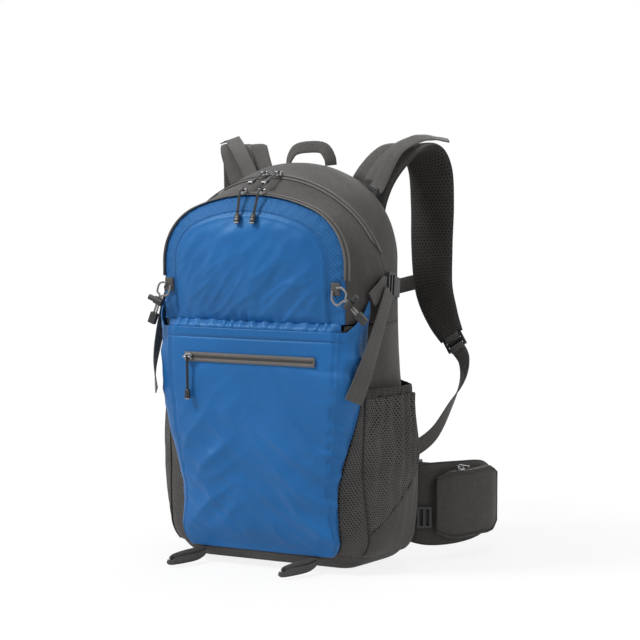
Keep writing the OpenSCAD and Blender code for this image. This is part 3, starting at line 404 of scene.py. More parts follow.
def webbing(name, points, dirs, w, t=WEB_T, per=8, lift=0.0, cloth="webbing"):
    """Flat webbing along given points: its width runs along dirs, and lift moves it off the line."""
    p = path(points, per)
    a = across(p, spread(dirs, len(p)))
    b = np.cross(tangents(p), a)
    p = p + b * lift
    ring = strap_ring(w, t)
    rings = p[:, None] + a[:, None] * ring[None, :, :1] + b[:, None] * ring[None, :, 1:]
    uv = np.stack(np.broadcast_arrays(length_along(p)[:, None], ring[None, :, 0]), -1)
    return rings_mesh(name, rings, [cloth], uv)


def tube(name, line, r, cloth, sides=8):
    """Round cord, piping or wire along a line of points, with a frame carried along it."""
    p = np.asarray(line, float)
    g = tangents(p)
    a = np.empty_like(p)
    first, second = np.array([0.2, 1.0, 0.1]), np.array([1.0, 0.1, 0.2])
    start = first if abs(g[0] @ first) < 0.9 else second
    for i, t in enumerate(g):
        start = unit(start - t * (start @ t))
        a[i] = start
    b = np.cross(g, a)
    ang = np.linspace(0, 2 * math.pi, sides, endpoint=False)
    turn, lean = np.cos(ang)[None, :, None], np.sin(ang)[None, :, None]
    rings = p[:, None] + r * (a[:, None] * turn + b[:, None] * lean)
    uv = np.stack(np.broadcast_arrays(length_along(p)[:, None], ang[None, :]), -1)
    return rings_mesh(name, rings, [cloth], uv)


def joined(name, parts):
    """One object from several at the origin, with their materials."""
    bpy.ops.object.select_all(action="DESELECT")
    for o in parts:
        o.select_set(True)
    bpy.context.view_layer.objects.active = parts[0]
    if len(parts) > 1:
        bpy.ops.object.join()
    parts[0].name = parts[0].data.name = name
    return parts[0]


def placed(obj, body, slot, *nodes):
    """The piece rides on a body and stands for the named nodes, which it hides; its slot is not used."""
    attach(obj, body)
    if nodes:
        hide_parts(*nodes)
    return obj


def subdivided(obj):
    m = obj.modifiers.new("Smooth", "SUBSURF")
    m.levels = m.render_levels = 1


def points_of(obj):
    """Points of an object's mesh, in its own frame."""
    co = np.empty(len(obj.data.vertices) * 3)
    obj.data.vertices.foreach_get("co", co)
    return co.reshape(-1, 3)


# Shader groups shared by the finishes
def put(tree, value, socket):
    """Sets a socket to a value, or links it to another socket."""
    if isinstance(value, bpy.types.NodeSocket):
        tree.links.new(value, socket)
    else:
        socket.default_value = value


def calc(tree, op, *values):
    n = tree.nodes.new("ShaderNodeMath")
    n.operation = op
    for v, s in zip(values, n.inputs):
        put(tree, v, s)
    return n.outputs[0]


def times(tree, a, b):
    return calc(tree, "MULTIPLY", a, b)


def plus(tree, a, b):
    return calc(tree, "ADD", a, b)


def parts_of(tree, vector):
    n = tree.nodes.new("ShaderNodeSeparateXYZ")
    put(tree, vector, n.inputs[0])
    return n.outputs


def clouded(tree, vector, scale, detail=3.0, rough=0.55):
    n = tree.nodes.new("ShaderNodeTexNoise")
    put(tree, vector, n.inputs["Vector"])
    put(tree, scale, n.inputs["Scale"])
    n.inputs["Detail"].default_value = detail
    n.inputs["Roughness"].default_value = rough
    return n.outputs["Fac"]


def fitted(tree, value, low, high, to_low=0.0, to_high=1.0):
    n = tree.nodes.new("ShaderNodeMapRange")
    n.interpolation_type = "SMOOTHSTEP"
    for k, v in enumerate((value, low, high, to_low, to_high)):
        put(tree, v, n.inputs[k])
    return n.outputs[0]


def shader_group(name, output, **inputs):
    """Empty shader node group: a coordinate, the named inputs with their defaults, and one output."""
    tree = bpy.data.node_groups.new(name, "ShaderNodeTree")
    tree.interface.new_socket("Coordinate", in_out="INPUT", socket_type="NodeSocketVector")
    for label, default in inputs.items():
        s = tree.interface.new_socket(label, in_out="INPUT", socket_type="NodeSocketFloat")
        s.default_value = default
    tree.interface.new_socket(output, in_out="OUTPUT", socket_type="NodeSocketFloat")
    return tree, tree.nodes.new("NodeGroupInput").outputs, tree.nodes.new("NodeGroupOutput").inputs


def weave_group():
    """Plain weave: raised warp and weft threads."""
    tree, i, o = shader_group("Weave", "Height", Threads=900.0)
    x, y, z = parts_of(tree, i["Coordinate"])
    turn = times(tree, i["Threads"], 2 * math.pi)
    a = calc(tree, "SINE", times(tree, plus(tree, x, times(tree, z, 0.37)), turn))
    b = calc(tree, "SINE", times(tree, plus(tree, y, z), turn))
    put(tree, calc(tree, "MULTIPLY_ADD", times(tree, a, b), 0.5, 0.5), o["Height"])
    return tree


def diamond_group():
    """Ripstop grid that stands on its corners: thin raised lines."""
    tree, i, o = shader_group("Ripstop", "Line", Pitch=0.004, Width=0.16)
    x, y, _ = parts_of(tree, i["Coordinate"])
    lines = []
    for op in ("ADD", "SUBTRACT"):
        s = calc(tree, "DIVIDE", calc(tree, op, times(tree, x, 1.25), y), i["Pitch"])
        d = calc(tree, "ABSOLUTE", calc(tree, "SUBTRACT", calc(tree, "FRACT", s), 0.5))
        lines.append(fitted(tree, d, 0.0, i["Width"], 1.0, 0.0))
    put(tree, calc(tree, "MAXIMUM", *lines), o["Line"])
    return tree


def tone_group():
    """Soft change of tone over cloth: broad fading and a finer mottle."""
    tree, i, o = shader_group("Cloth tone", "Tone", Size=0.08, Mottle=0.35)
    broad = clouded(tree, i["Coordinate"], calc(tree, "DIVIDE", 1.0, i["Size"]), 2.0)
    fine = clouded(tree, i["Coordinate"], calc(tree, "DIVIDE", 14.0, i["Size"]), 4.0, 0.65)
    mixed = plus(tree, times(tree, broad, calc(tree, "SUBTRACT", 1.0, i["Mottle"])),
                 times(tree, fine, i["Mottle"]))
    put(tree, fitted(tree, mixed, 0.3, 0.7), o["Tone"])
    return tree


def holes_group():
    """Knitted mesh: holes on a lattice of hexagons."""
    tree, i, o = shader_group("Mesh holes", "Hole", Pitch=0.004, Size=0.3)
    x, y, _ = parts_of(tree, i["Coordinate"])
    waves = []
    for a in (0.0, math.pi / 3, 2 * math.pi / 3):
        s = plus(tree, times(tree, x, math.cos(a)), times(tree, y, math.sin(a)))
        turn = calc(tree, "DIVIDE", times(tree, s, 4 * math.pi / math.sqrt(3)), i["Pitch"])
        waves.append(calc(tree, "COSINE", turn))
    total = plus(tree, plus(tree, waves[0], waves[1]), waves[2])
    level = calc(tree, "MULTIPLY_ADD", i["Size"], -3.0, 1.6)
    put(tree, fitted(tree, total, level, plus(tree, level, 0.7)), o["Hole"])
    return tree


def ribs_group():
    """Webbing: cords across its length with a fine twill between them."""
    tree, i, o = shader_group("Webbing ribs", "Height", Pitch=0.0022)
    x, y, _ = parts_of(tree, i["Coordinate"])
    turn = calc(tree, "DIVIDE", 2 * math.pi, i["Pitch"])
    rib = calc(tree, "SINE", times(tree, plus(tree, x, times(tree, y, 0.12)), turn))
    lane = calc(tree, "SINE", times(tree, y, times(tree, turn, 0.8)))
    put(tree, plus(tree, calc(tree, "MULTIPLY_ADD", rib, 0.35, 0.5), times(tree, lane, 0.15)), o["Height"])
    return tree


def scuff_group():
    """Handling marks on plastic and plated metal: fine scratches and dull patches."""
    tree, i, o = shader_group("Scuffs", "Mark", Scale=160.0)
    patch = clouded(tree, i["Coordinate"], i["Scale"], 3.0)
    m = tree.nodes.new("ShaderNodeMapping")
    m.inputs["Scale"].default_value = (1.0, 9.0, 1.0)
    m.inputs["Rotation"].default_value = (0.3, 0.2, 0.6)
    put(tree, i["Coordinate"], m.inputs["Vector"])
    line = clouded(tree, m.outputs[0], times(tree, i["Scale"], 2.5), 2.0)
    put(tree, plus(tree, times(tree, patch, 0.5), times(tree, line, 0.5)), o["Mark"])
    return tree


GROUPS = {}


def group_node(tree, key, vector, **values):
    n = tree.nodes.new("ShaderNodeGroup")
    n.node_tree = GROUPS[key]
    put(tree, vector, n.inputs["Coordinate"])
    for label, v in values.items():
        put(tree, v, n.inputs[label])
    return n.outputs[0]


def coloured(tree, factor, low, high):
    """Colour between two, by a factor over the surface."""
    n = tree.nodes.new("ShaderNodeMix")
    n.data_type = "RGBA"
    put(tree, factor, n.inputs[0])
    for colour, socket in ((low, n.inputs[6]), (high, n.inputs[7])):
        put(tree, colour if isinstance(colour, bpy.types.NodeSocket) else (*colour, 1.0), socket)
    return n.outputs[2]


def bumped(tree, shader, height, distance):
    n = tree.nodes.new("ShaderNodeBump")
    n.inputs["Strength"].default_value = 1.0
    n.inputs["Distance"].default_value = distance
    put(tree, height, n.inputs["Height"])
    put(tree, n.outputs[0], shader.inputs["Normal"])


def finish(name, uv=True, **sockets):
    """New material with its shader and the coordinates that its patterns read."""
    m = bpy.data.materials.new(name)
    m.use_nodes = True
    tree = m.node_tree
    shader = tree.nodes["Principled BSDF"]
    for label, v in sockets.items():
        shader.inputs[label.replace("_", " ").title().replace("Ior", "IOR")].default_value = v
    coords = tree.nodes.new("ShaderNodeTexCoord")
    FINISH[name] = m
    return tree, shader, coords.outputs["UV" if uv else "Object"]


def scaled(colour, k):
    return tuple(min(1.0, c * k) for c in colour)


def ripstop_finish(name, colour, deep, pitch, width, relief, roughness, line_tint):
    """Satin ripstop nylon with a raised diamond grid."""
    tree, p, c = finish(name, sheen_weight=0.03, sheen_roughness=0.4, specular_ior_level=0.55,
                        specular_tint=(0.45, 0.8, 1.0, 1.0))
    tone = group_node(tree, "tone", c, Size=0.11, Mottle=0.25)
    line = group_node(tree, "ripstop", c, Pitch=pitch, Width=width)
    weave = group_node(tree, "weave", c, Threads=1400.0)
    cloth = coloured(tree, tone, scaled(colour, deep), colour)
    tint = times(tree, line, line_tint)
    put(tree, coloured(tree, tint, cloth, scaled(colour, 1.5)), p.inputs["Base Color"])
    put(tree, fitted(tree, plus(tree, line, tone), 0.0, 2.0, roughness + 0.08, roughness - 0.06),
        p.inputs["Roughness"])
    bumped(tree, p, plus(tree, line, times(tree, weave, 0.25)), relief)


def woven_finish(name, colour, threads, relief, roughness=0.72, uv=True):
    """Matt woven nylon."""
    tree, p, c = finish(name, uv, sheen_weight=0.08, sheen_roughness=0.5, specular_ior_level=0.2)
    tone = group_node(tree, "tone", c, Size=0.09, Mottle=0.45)
    weave = group_node(tree, "weave", c, Threads=threads)
    put(tree, coloured(tree, calc(tree, "MULTIPLY_ADD", weave, 0.25, times(tree, tone, 0.75)),
                       scaled(colour, 0.8), scaled(colour, 1.14)), p.inputs["Base Color"])
    put(tree, fitted(tree, tone, 0.0, 1.0, roughness + 0.06, roughness - 0.06), p.inputs["Roughness"])
    bumped(tree, p, plus(tree, weave, times(tree, tone, 0.6)), relief)


def mesh_finish(name, colour, pitch, size, see, relief):
    """Knitted mesh: its holes are painted near black, a painted shade for their depth, and where see is above
    0 they also let part of what lies behind show through.
    """
    tree, p, c = finish(name, roughness=0.75, sheen_weight=0.05, specular_ior_level=0.2)
    tone = group_node(tree, "tone", c, Size=0.06, Mottle=0.4)
    hole = group_node(tree, "holes", c, Pitch=pitch, Size=size)
    knit = coloured(tree, tone, scaled(colour, 0.8), scaled(colour, 1.25))
    # Painted shade: the holes take a near-black copy of the knit's colour.
    put(tree, coloured(tree, hole, knit, scaled(colour, 0.18)), p.inputs["Base Color"])
    if see > 0:
        put(tree, fitted(tree, hole, 0.15, 0.75, 1.0, 1.0 - see), p.inputs["Alpha"])
    bumped(tree, p, calc(tree, "SUBTRACT", 1.0, hole), relief)


def webbing_finish(name, colour, pitch, relief=0.0004):
    """Ribbed webbing, lighter on its raised ribs and darker between them."""
    tree, p, c = finish(name, sheen_weight=0.08, sheen_roughness=0.45, specular_ior_level=0.2)
    ribs = group_node(tree, "ribs", c, Pitch=pitch)
    tone = group_node(tree, "tone", c, Size=0.05, Mottle=0.5)
    put(tree, coloured(tree, calc(tree, "MULTIPLY_ADD", ribs, 0.6, times(tree, tone, 0.4)),
                       scaled(colour, 0.66), scaled(colour, 1.3)), p.inputs["Base Color"])
    put(tree, fitted(tree, ribs, 0.0, 1.0, 0.8, 0.62), p.inputs["Roughness"])
    bumped(tree, p, ribs, relief)


def moulded_finish(name, colour, roughness, metallic=0.0):
    """Moulded plastic or plated metal with a fine grain and handling marks."""
    tree, p, c = finish(name, False, metallic=metallic, specular_ior_level=0.5)
    mark = group_node(tree, "scuffs", c, Scale=180.0)
    worn = fitted(tree, mark, 0.35, 0.7)
    put(tree, coloured(tree, worn, colour, scaled(colour, 1.45)), p.inputs["Base Color"])
    put(tree, fitted(tree, mark, 0.3, 0.7, roughness - 0.08, roughness + 0.14), p.inputs["Roughness"])
    bumped(tree, p, mark, 0.00006)


def thread_finish(name, colour):
    """Twisted sewing thread."""
    tree, p, c = finish(name, False, sheen_weight=0.3, specular_ior_level=0.3)
    tone = clouded(tree, c, 1500.0)
    put(tree, coloured(tree, tone, scaled(colour, 0.7), scaled(colour, 1.3)), p.inputs["Base Color"])
    put(tree, fitted(tree, tone, 0.0, 1.0, 0.55, 0.75), p.inputs["Roughness"])


def braided_finish(name, colour):
    """Braided cover of an elastic cord: UV runs along the cord and round it."""
    tree, p, c = finish(name, sheen_weight=0.3, specular_ior_level=0.35)
    x, y, _ = parts_of(tree, c)
    lead = times(tree, x, 2 * math.pi / 0.0022)
    turn = times(tree, y, 4000.0)
    a = calc(tree, "SINE", plus(tree, lead, turn))
    b = calc(tree, "SINE", calc(tree, "SUBTRACT", lead, turn))
    braid = calc(tree, "MULTIPLY_ADD", times(tree, a, b), 0.5, 0.5)
    put(tree, coloured(tree, braid, scaled(colour, 0.6), scaled(colour, 1.2)), p.inputs["Base Color"])
    put(tree, fitted(tree, braid, 0.0, 1.0, 0.75, 0.55), p.inputs["Roughness"])
    bumped(tree, p, braid, 0.0003)


def make_finishes(look_values):
    """All shader groups and materials, in the colours of the look settings."""
    GROUPS.update(weave=weave_group(), ripstop=diamond_group(), tone=tone_group(), holes=holes_group(),
                  ribs=ribs_group(), scuffs=scuff_group())
    blue, gray = tuple(look_values.blue), tuple(look_values.gray)
    web, tape = tuple(look_values.webbing), tuple(look_values.tape)
    plain = dict(deep=0.78, pitch=0.0056, width=0.14, relief=0.0001, line_tint=0.16)
    ripstop_finish("blue_front", blue, roughness=0.36, **plain)
    ripstop_finish("blue_emboss", scaled(blue, 0.86), deep=0.8, pitch=0.0058, width=0.22, relief=0.0004,
                   roughness=0.44, line_tint=0.3)
    # Painted shade: a darker copy of the front's blue for the stash pocket's sides and the cloth under its
    # hem.
    ripstop_finish("blue_shaded", scaled(blue, 0.94), roughness=0.38, **plain)
    woven_finish("gray_cloth", gray, threads=700.0, relief=0.00016)
    woven_finish("gray_pad", gray, threads=700.0, relief=0.00018)
    woven_finish("lining", scaled(gray, 0.55), threads=900.0, relief=0.0001)
    woven_finish("piping", scaled(gray, 0.62), threads=600.0, relief=0.0002, uv=False)
    woven_finish("zip_tape", tape, threads=1100.0, relief=0.00012, roughness=0.66)
    mesh_finish("pocket_mesh", scaled(gray, 1.4), pitch=0.0034, size=0.42, see=0.3, relief=0.0006)
    mesh_finish("air_mesh", scaled(gray, 0.66), pitch=0.0048, size=0.38, see=0.0, relief=0.0011)
    webbing_finish("webbing", web, pitch=0.0024)
    webbing_finish("elastic_hem", scaled(gray, 0.7), pitch=0.0034, relief=0.0006)
    webbing_finish("zip_coil", scaled(tape, 0.5), pitch=0.0016, relief=0.0003)
    moulded_finish("black_plastic", (0.012, 0.012, 0.013), roughness=0.42)
    moulded_finish("stiff_sheet", (0.03, 0.03, 0.032), roughness=0.5)
    moulded_finish("zip_metal", (0.3, 0.3, 0.31), roughness=0.3, metallic=1.0)
    moulded_finish("soft_black", (0.007, 0.007, 0.0075), roughness=0.36)
    thread_finish("gray_thread", scaled(gray, 1.5))
    thread_finish("blue_thread", scaled(blue, 0.6))
    thread_finish("light_thread", scaled(web, 1.6))
    braided_finish("elastic_cord", tuple(look_values.elastic))


# Rows of small pieces along lines
ROWS = {}


def row_tree(name, rounded):
    """Geometry Nodes: one small piece every step along the lines, its z axis along their up attribute."""
    tree = bpy.data.node_groups.new(name, "GeometryNodeTree")
    ids = {}
    for label, kind, default in (("Lines", "Geometry", None), ("Spacing", "Float", 0.003),
                                 ("Size", "Vector", None), ("Material", "Material", None)):
        s = tree.interface.new_socket(label, in_out="INPUT", socket_type="NodeSocket" + kind)
        if default is not None:
            s.default_value = default
        ids[label] = s.identifier
    tree.interface.new_socket("Row", in_out="OUTPUT", socket_type="NodeSocketGeometry")
    add, link = tree.nodes.new, tree.links.new
    given, out = add("NodeGroupInput").outputs, add("NodeGroupOutput").inputs
    curve, steps = add("GeometryNodeMeshToCurve"), add("GeometryNodeResampleCurve")
    steps.mode = "LENGTH"
    up, along = add("GeometryNodeInputNamedAttribute"), add("GeometryNodeInputTangent")
    up.data_type = "FLOAT_VECTOR"
    up.inputs["Name"].default_value = "up"
    stand, turn = add("FunctionNodeAlignRotationToVector"), add("FunctionNodeAlignRotationToVector")
    stand.axis, turn.axis, turn.pivot_axis = "Z", "X", "Z"
    if rounded:
        shape = add("GeometryNodeMeshUVSphere")
        shape.inputs["Segments"].default_value = 6
        shape.inputs["Rings"].default_value = 4
        shape.inputs["Radius"].default_value = 0.5
    else:
        shape = add("GeometryNodeMeshCube")
    place, real, paint = (add("GeometryNodeInstanceOnPoints"), add("GeometryNodeRealizeInstances"),
                          add("GeometryNodeSetMaterial"))
    link(given["Lines"], curve.inputs["Mesh"])
    link(curve.outputs["Curve"], steps.inputs["Curve"])
    link(given["Spacing"], steps.inputs["Length"])
    link(up.outputs[0], stand.inputs["Vector"])
    link(stand.outputs[0], turn.inputs["Rotation"])
    link(along.outputs[0], turn.inputs["Vector"])
    link(steps.outputs["Curve"], place.inputs["Points"])
    link(shape.outputs["Mesh"], place.inputs["Instance"])
    link(turn.outputs[0], place.inputs["Rotation"])
    link(given["Size"], place.inputs["Scale"])
    link(place.outputs["Instances"], real.inputs["Geometry"])
    link(real.outputs["Geometry"], paint.inputs["Geometry"])
    link(given["Material"], paint.inputs["Material"])
    link(paint.outputs["Geometry"], out["Row"])
    ROWS[name] = (tree, ids)


def row(name, lines, ups, kind, spacing, size, finish_name):
    """Plain mesh of a row of stitches or teeth along lines of points in millimetres."""
    mesh = bpy.data.meshes.new(name)
    edges, start = [], 0
    for p in lines:
        edges += [(start + i, start + i + 1) for i in range(len(p) - 1)]
        start += len(p)
    mesh.from_pydata([tuple(v) for v in np.concatenate(lines) * MM], edges, [])
    mesh.attributes.new("up", "FLOAT_VECTOR", "POINT").data.foreach_set(
        "vector", np.concatenate(ups).astype(np.float32).ravel())
    obj = bpy.data.objects.new(name, mesh)
    bpy.context.scene.collection.objects.link(obj)
    tree, ids = ROWS[kind]
    m = obj.modifiers.new("Row", "NODES")
    m.node_group = tree
    m[ids["Spacing"]] = spacing * MM
    m[ids["Size"]] = tuple(s * MM for s in size)
    m[ids["Material"]] = FINISH[finish_name]
    graph = bpy.context.evaluated_depsgraph_get()
    made = bpy.data.meshes.new_from_object(obj.evaluated_get(graph))
    obj.modifiers.clear()
    obj.data = made
    made.name = name
    return obj


STITCHES = {}


def sew(body, colour, line, up):
    """Keeps a line of stitches for its body; the row is made when every seam is known."""
    p = np.asarray(line, float)
    u = np.broadcast_to(np.asarray(up, float), p.shape).copy()
    STITCHES.setdefault((body, colour), []).append((p, u))


# Cloth simulation of the padded pieces
PADS = []
PAD_PRESSURE, PAD_FRAMES = 4.0, 20


def pad_later(obj, pins, cap):
    """Notes a padded piece: pins is 1 where it is sewn down, cap its largest swell in millimetres."""
    PADS.append((obj, pins, cap))
    return obj


def swell_pads():
    """Blows up all padded pieces together between their seams, and keeps the result as plain meshes."""
    scene = bpy.context.scene
    for obj, pins, _ in PADS:
        sewn = obj.vertex_groups.new(name="sewn")
        for i, w in enumerate(pins):
            if w > 0:
                sewn.add([i], float(w), "REPLACE")
        m = obj.modifiers.new("Cloth", "CLOTH")
        s = m.settings
        s.quality = 5
        s.mass = 0.25
        s.tension_stiffness = s.compression_stiffness = 18
        s.shear_stiffness = 8
        s.bending_stiffness = 2.0
        s.use_pressure = True
        s.uniform_pressure_force = PAD_PRESSURE
        s.effector_weights.gravity = 0
        s.vertex_group_mass = "sewn"
        m.collision_settings.use_collision = False
    for f in range(1, PAD_FRAMES + 1):
        scene.frame_set(f)
    graph = bpy.context.evaluated_depsgraph_get()
    swells = []
    for obj, _, cap in PADS:
        step = points_of(obj.evaluated_get(graph)) - points_of(obj)
        far = np.linalg.norm(step, axis=1, keepdims=True) / MM
        swells.append(step * np.where(far > 1e-6, cap * np.tanh(far / cap) / np.maximum(far, 1e-6), 0))
    scene.frame_set(1)
    for (obj, *_), step in zip(PADS, swells):
        obj.modifiers.clear()
        obj.vertex_groups.clear()
        obj.data.vertices.foreach_set("co", (points_of(obj) + step).ravel())
        obj.data.update()
        subdivided(obj)


def pad_loft(name, p, dirs, ws, ts, finishes, sides=36, edge=0.45, crown=0.8, strip=0.0):
    """Padded band along a path with one finish on each face; returns it, its frame, sizes and pins.

    The pins hold its edges and ends, and on its lower face a strip of the given half width.
    """
    n = len(p)
    a = across(p, spread(dirs, n))
    b = np.cross(tangents(p), a)
    w, t = spread(ws, n)[:, None], spread(ts, n)[:, None]
    g = (np.arange(sides) + 0.5) * 2 * math.pi / sides
    x, y = np.cos(g), np.sin(g)
    sx = squared_off(x, edge) * w / 2
    sy = squared_off(y, crown) * t / 2
    rings = p[:, None] + a[:, None] * sx[:, :, None] + b[:, None] * sy[:, :, None]
    girth = length_along(rings[n // 2])
    uv = np.stack(np.broadcast_arrays(length_along(p)[:, None], girth[None, :]), -1)
    upper = ((y + np.roll(y, -1)) > 0).astype(int)
    obj = rings_mesh(name, rings, finishes, uv, np.broadcast_to(upper, (n - 1, sides)))
    pins = np.broadcast_to((np.abs(y) < 0.3).astype(float), (n, sides)).copy()
    pins[:2] = pins[-2:] = 1
    pins[(np.abs(sx) < strip) & (y < 0)[None, :]] = 1
    return obj, a, b, w, t, pins.ravel()


def edge_binding(name, p, half, flip):
    """Binding along both edges of a padded band; half reaches from its middle to one edge."""
    return joined(name, [tube("edge", (p + half * k) * flip, 1.5, "piping") for k in (-1, 1)])


# Sewn shell of the bag
def cloth_patch(name, us, vs, body, node, folds, seed):
    """Sewn gray panel on the bag's skin, with soft folds that die out at its seams."""
    u, v = grid(us, vs)
    base = form(u, v)
    m, n = u.shape
    i, j = grid(np.arange(m), np.arange(n))
    fade = smooth(np.minimum(np.minimum(i, m - 1 - i) / 10, np.minimum(j, n - 1 - j) / 5))
    wave = clouds(base * [1, 1, 0.55], 52, seed) * 0.65 + clouds(base, 21, seed + 7) * 0.35
    outer = form(u, v, -0.15 + folds * fade * (wave - 0.35))
    return placed(shell(name, outer, form(u, v, -WALL), ["gray_cloth"]), body, "gray", node)


def spaced(*stops):
    """Values through stops given as (start, end, count), each start counted once."""
    rows = [np.linspace(a, b, n, endpoint=False) for a, b, n in stops]
    return np.concatenate(rows + [[stops[-1][1]]])


# Half gap at the main zip along v, and the share of its width that a panel keeps beside its seams
SLIT = SEAM / BODY_D
SIDE_KEEP, FLAP_KEEP = 0.996, 0.997
# Rows of the panels along v, and the arch from fold to fold along u
REAR_VS = spaced((0, 0.16, 14), (0.16, V_ZIP - SLIT, 22))
SIDE_VS = spaced((0, 0.16, 12), (0.16, 0.75, 22), (0.75, 1, 16))
ARCH_US = np.linspace(-FOLD_U, FOLD_U, 181)


def wall_grid(ws, v, cols, off):
    """Flat wall across the bag between its sides, one row of points for each w."""
    p = form(np.asarray(ws), v, off)
    return points_at(p[:, :1] * np.linspace(-1, 1, cols), p[:, 1:2], p[:, 2:])


def build_shell():
    cloth_patch("upper_gusset_cloth", ARCH_US, REAR_VS, "pack", "upper_gusset", folds=1.3, seed=2.0)
    mid_u = (FOLD_U + FOOT_U) / 2
    side_us = mid_u + (np.linspace(FOLD_U, FOOT_U, 46) - mid_u) * SIDE_KEEP
    for side, sign in SIDES:
        cloth_patch(f"side_cloth_{side}", sign * side_us, SIDE_VS, "pack", f"side_panel_{side}",
                    folds=1.2, seed=4.0 + sign)
    half = spaced((FOOT_U, FLOOR_U, 12), (FLOOR_U, 1, 5))
    base_us = np.concatenate([half, -half[-2::-1]])
    cloth_patch("base_cloth", base_us, SIDE_VS, "pack", "base_panel", folds=0.0, seed=9.0)
    flap_vs = spaced((V_ZIP + SLIT, 1, 22))
    cloth_patch("flap_gusset_cloth", ARCH_US * FLAP_KEEP, flap_vs, "flap", "flap_gusset", folds=1.0, seed=6.0)
    back_us = spaced((TOP_U, SPRING_U, 40), (SPRING_U, FOOT_U, 36), (FOOT_U, FLOOR_U, 10))
    wall = wall_grid(back_us, 0.0, 41, 0.0)
    outer, inner = wall.copy(), wall.copy()
    outer[..., 1], inner[..., 1] = Y_BACK + SEAM + WALL, Y_BACK + SEAM
    placed(shell("back_cloth", outer, inner, ["gray_cloth"]), "pack", "gray", "back_wall")
    front_us = spaced((float(w_of(FOLD_Z - 6, 1.0)), FOOT_U, 26), (FOOT_U, FLOOR_U, 8))
    wall = wall_grid(front_us, 1.0, 31, -2.5)
    outer, inner = wall - [0, SEAM + WALL, 0], wall - [0, SEAM, 0]
    placed(shell("lower_front_cloth", outer, inner, ["lining"]), "pack", "gray", "lower_front")
    build_divider()


def build_divider():
    """Lining that closes the main compartment behind the flap, with the flap's floor."""
    vd, inset, z1 = V_ZIP + 0.03, -WALL - SEAM - 1.3, FOLD_Z + 1
    rear = wall_grid(np.concatenate([[0.02], np.linspace(0.05, SPRING_U, 24), [0.44, 0.46]]), vd, 31, inset)
    front = rear - [0, WALL, 0]
    rows_r, rows_f = [], []
    for v in (vd, 0.66, 0.74, 0.82, 0.9, 0.985):
        x = (side_x(v, FOLD_Z) + inset) * np.linspace(-1, 1, 31)
        y = depth_y(v, z1)
        rows_r.append(points_at(x, y, z1))
        rows_f.append(points_at(x, y - (WALL if v == vd else 0), z1 + WALL))
    obj = shell("divider_cloth", np.concatenate([rear, rows_r]), np.concatenate([front, rows_f]), ["lining"])
    placed(obj, "flap", "lining", "flap_divider")


# Arched front panel: its zipped outline, the width of its embossed edge strip and its gathered foot
PANEL_U = 0.4986
OUTLINE = form(np.linspace(-PANEL_U, PANEL_U, 400), 1.0)[:, [0, 2]]
STRIP = 21.0
GATHER_X, GATHER_STEP = 118.0, 2.6


def panel_xy(w, q, t):
    """Point of the front panel: w runs down its outline, q across it from -1 to 1."""
    p = form(np.maximum(w, TOP_U), 1.0)
    y = Y_FRONT - SEAM - t - panel_belly(q, p[..., 2])
    return points_at(p[..., 0] * q, y, p[..., 2])


def edge_distance(points):
    """Distance in the panel's plane to its zipped outline."""
    flat = points[..., [0, 2]].reshape(-1, 1, 2)
    near = [np.linalg.norm(c - OUTLINE, axis=2).min(1) for c in np.array_split(flat, 40)]
    return np.concatenate(near).reshape(points.shape[:-1])


def gathers(points):
    """Fine upright gathers between -1 and 1 that end short of the panel's sides."""
    x = points[..., 0]
    waves = np.sin(x / GATHER_STEP + 4.0 * clouds(points, 30, 3.0))
    return waves * smooth((GATHER_X - np.abs(x)) / 14)


def panel_relief(base):
    """Distance to the outline, and height of the panel's seams, gathers and sagging folds, in millimetres."""
    d = edge_distance(base)
    x, z = base[..., 0], base[..., 2]
    low = z - FOLD_Z
    ridge = 0.7 * bell(d - STRIP - 3.4, 2.4) - bell(d - STRIP, 1.6)
    gather = 1.9 * np.exp(-low / 10) * gathers(base) * (0.65 + 0.6 * clouds(base, 26, 9.0))
    slope = slanted(base, 0.9, 0.35)
    sag = (clouds(slope, 34, 11.0) * 1.2
           + creases(slope * [0.7, 1, 1], 44, 19.0) * 2.4 * smooth((420 - z) / 80)
           + clouds(slope * [1.6, 1, 1], 17, 41.0) * 1.1
           + creases(slope * [0.8, 1, 1.1], 25, 51.0) * 1.6 * smooth((430 - z) / 70))
    broad = clouds(base, 60, 21.0) * 2.8
    round_arch = np.arctan2(x, z - 380) * 46
    pucker = 0.5 * bell(d - 7, 6) * np.sin(round_arch + 3 * clouds(base, 30, 5.0))
    relief = ridge + gather + (sag + broad) * smooth((d - 10) / 34) + pucker
    return d, np.minimum(relief, 0.3 + 0.25 * np.maximum(low, 0))


def build_panel():
    ws = spaced((TOP_U, 0.05, 8), (0.05, SPRING_U, 74), (SPRING_U, PANEL_U, 52))
    w, q = grid(ws, np.linspace(-1, 1, 141))
    base = panel_xy(w, q, WALL)
    d, relief = panel_relief(base)
    keep = smooth(np.minimum(d / 5, 1)) * 0.9 + 0.1 * smooth(d / 2)
    outer, inner = base - points_at(0, keep * relief, 0), panel_xy(w, q, 0.0)
    strip = (cell_mid(d) < STRIP).astype(int)
    obj = shell("front_panel_cloth", outer, inner, ["blue_front", "blue_emboss"], strip, base[..., [0, 2]])
    placed(obj, "panel", "blue", "front_panel")
    for off in (STRIP - 2.6, STRIP + 2.4):
        sew("panel", "blue_thread", panel_line(off), (0, -1, 0))


def panel_line(off):
    """Line on the panel at a distance inside its outline."""
    o = form(np.linspace(-0.49, 0.49, 240), 1.0)[:, [0, 2]]
    g = np.gradient(o, axis=0)
    p = o + unit(np.stack([g[:, 1], -g[:, 0]], -1)) * off
    half = np.interp(p[:, 1], OUTLINE[200:, 1][::-1], OUTLINE[200:, 0][::-1])
    y = Y_FRONT - SEAM - WALL - panel_belly(np.clip(p[:, 0] / np.maximum(half, 1), -1, 1), p[:, 1])
    line = points_at(p[:, 0], y, p[:, 1])
    _, relief = panel_relief(line)
    line[:, 1] -= relief + 0.1
    return line[p[:, 1] > FOLD_Z + 3]


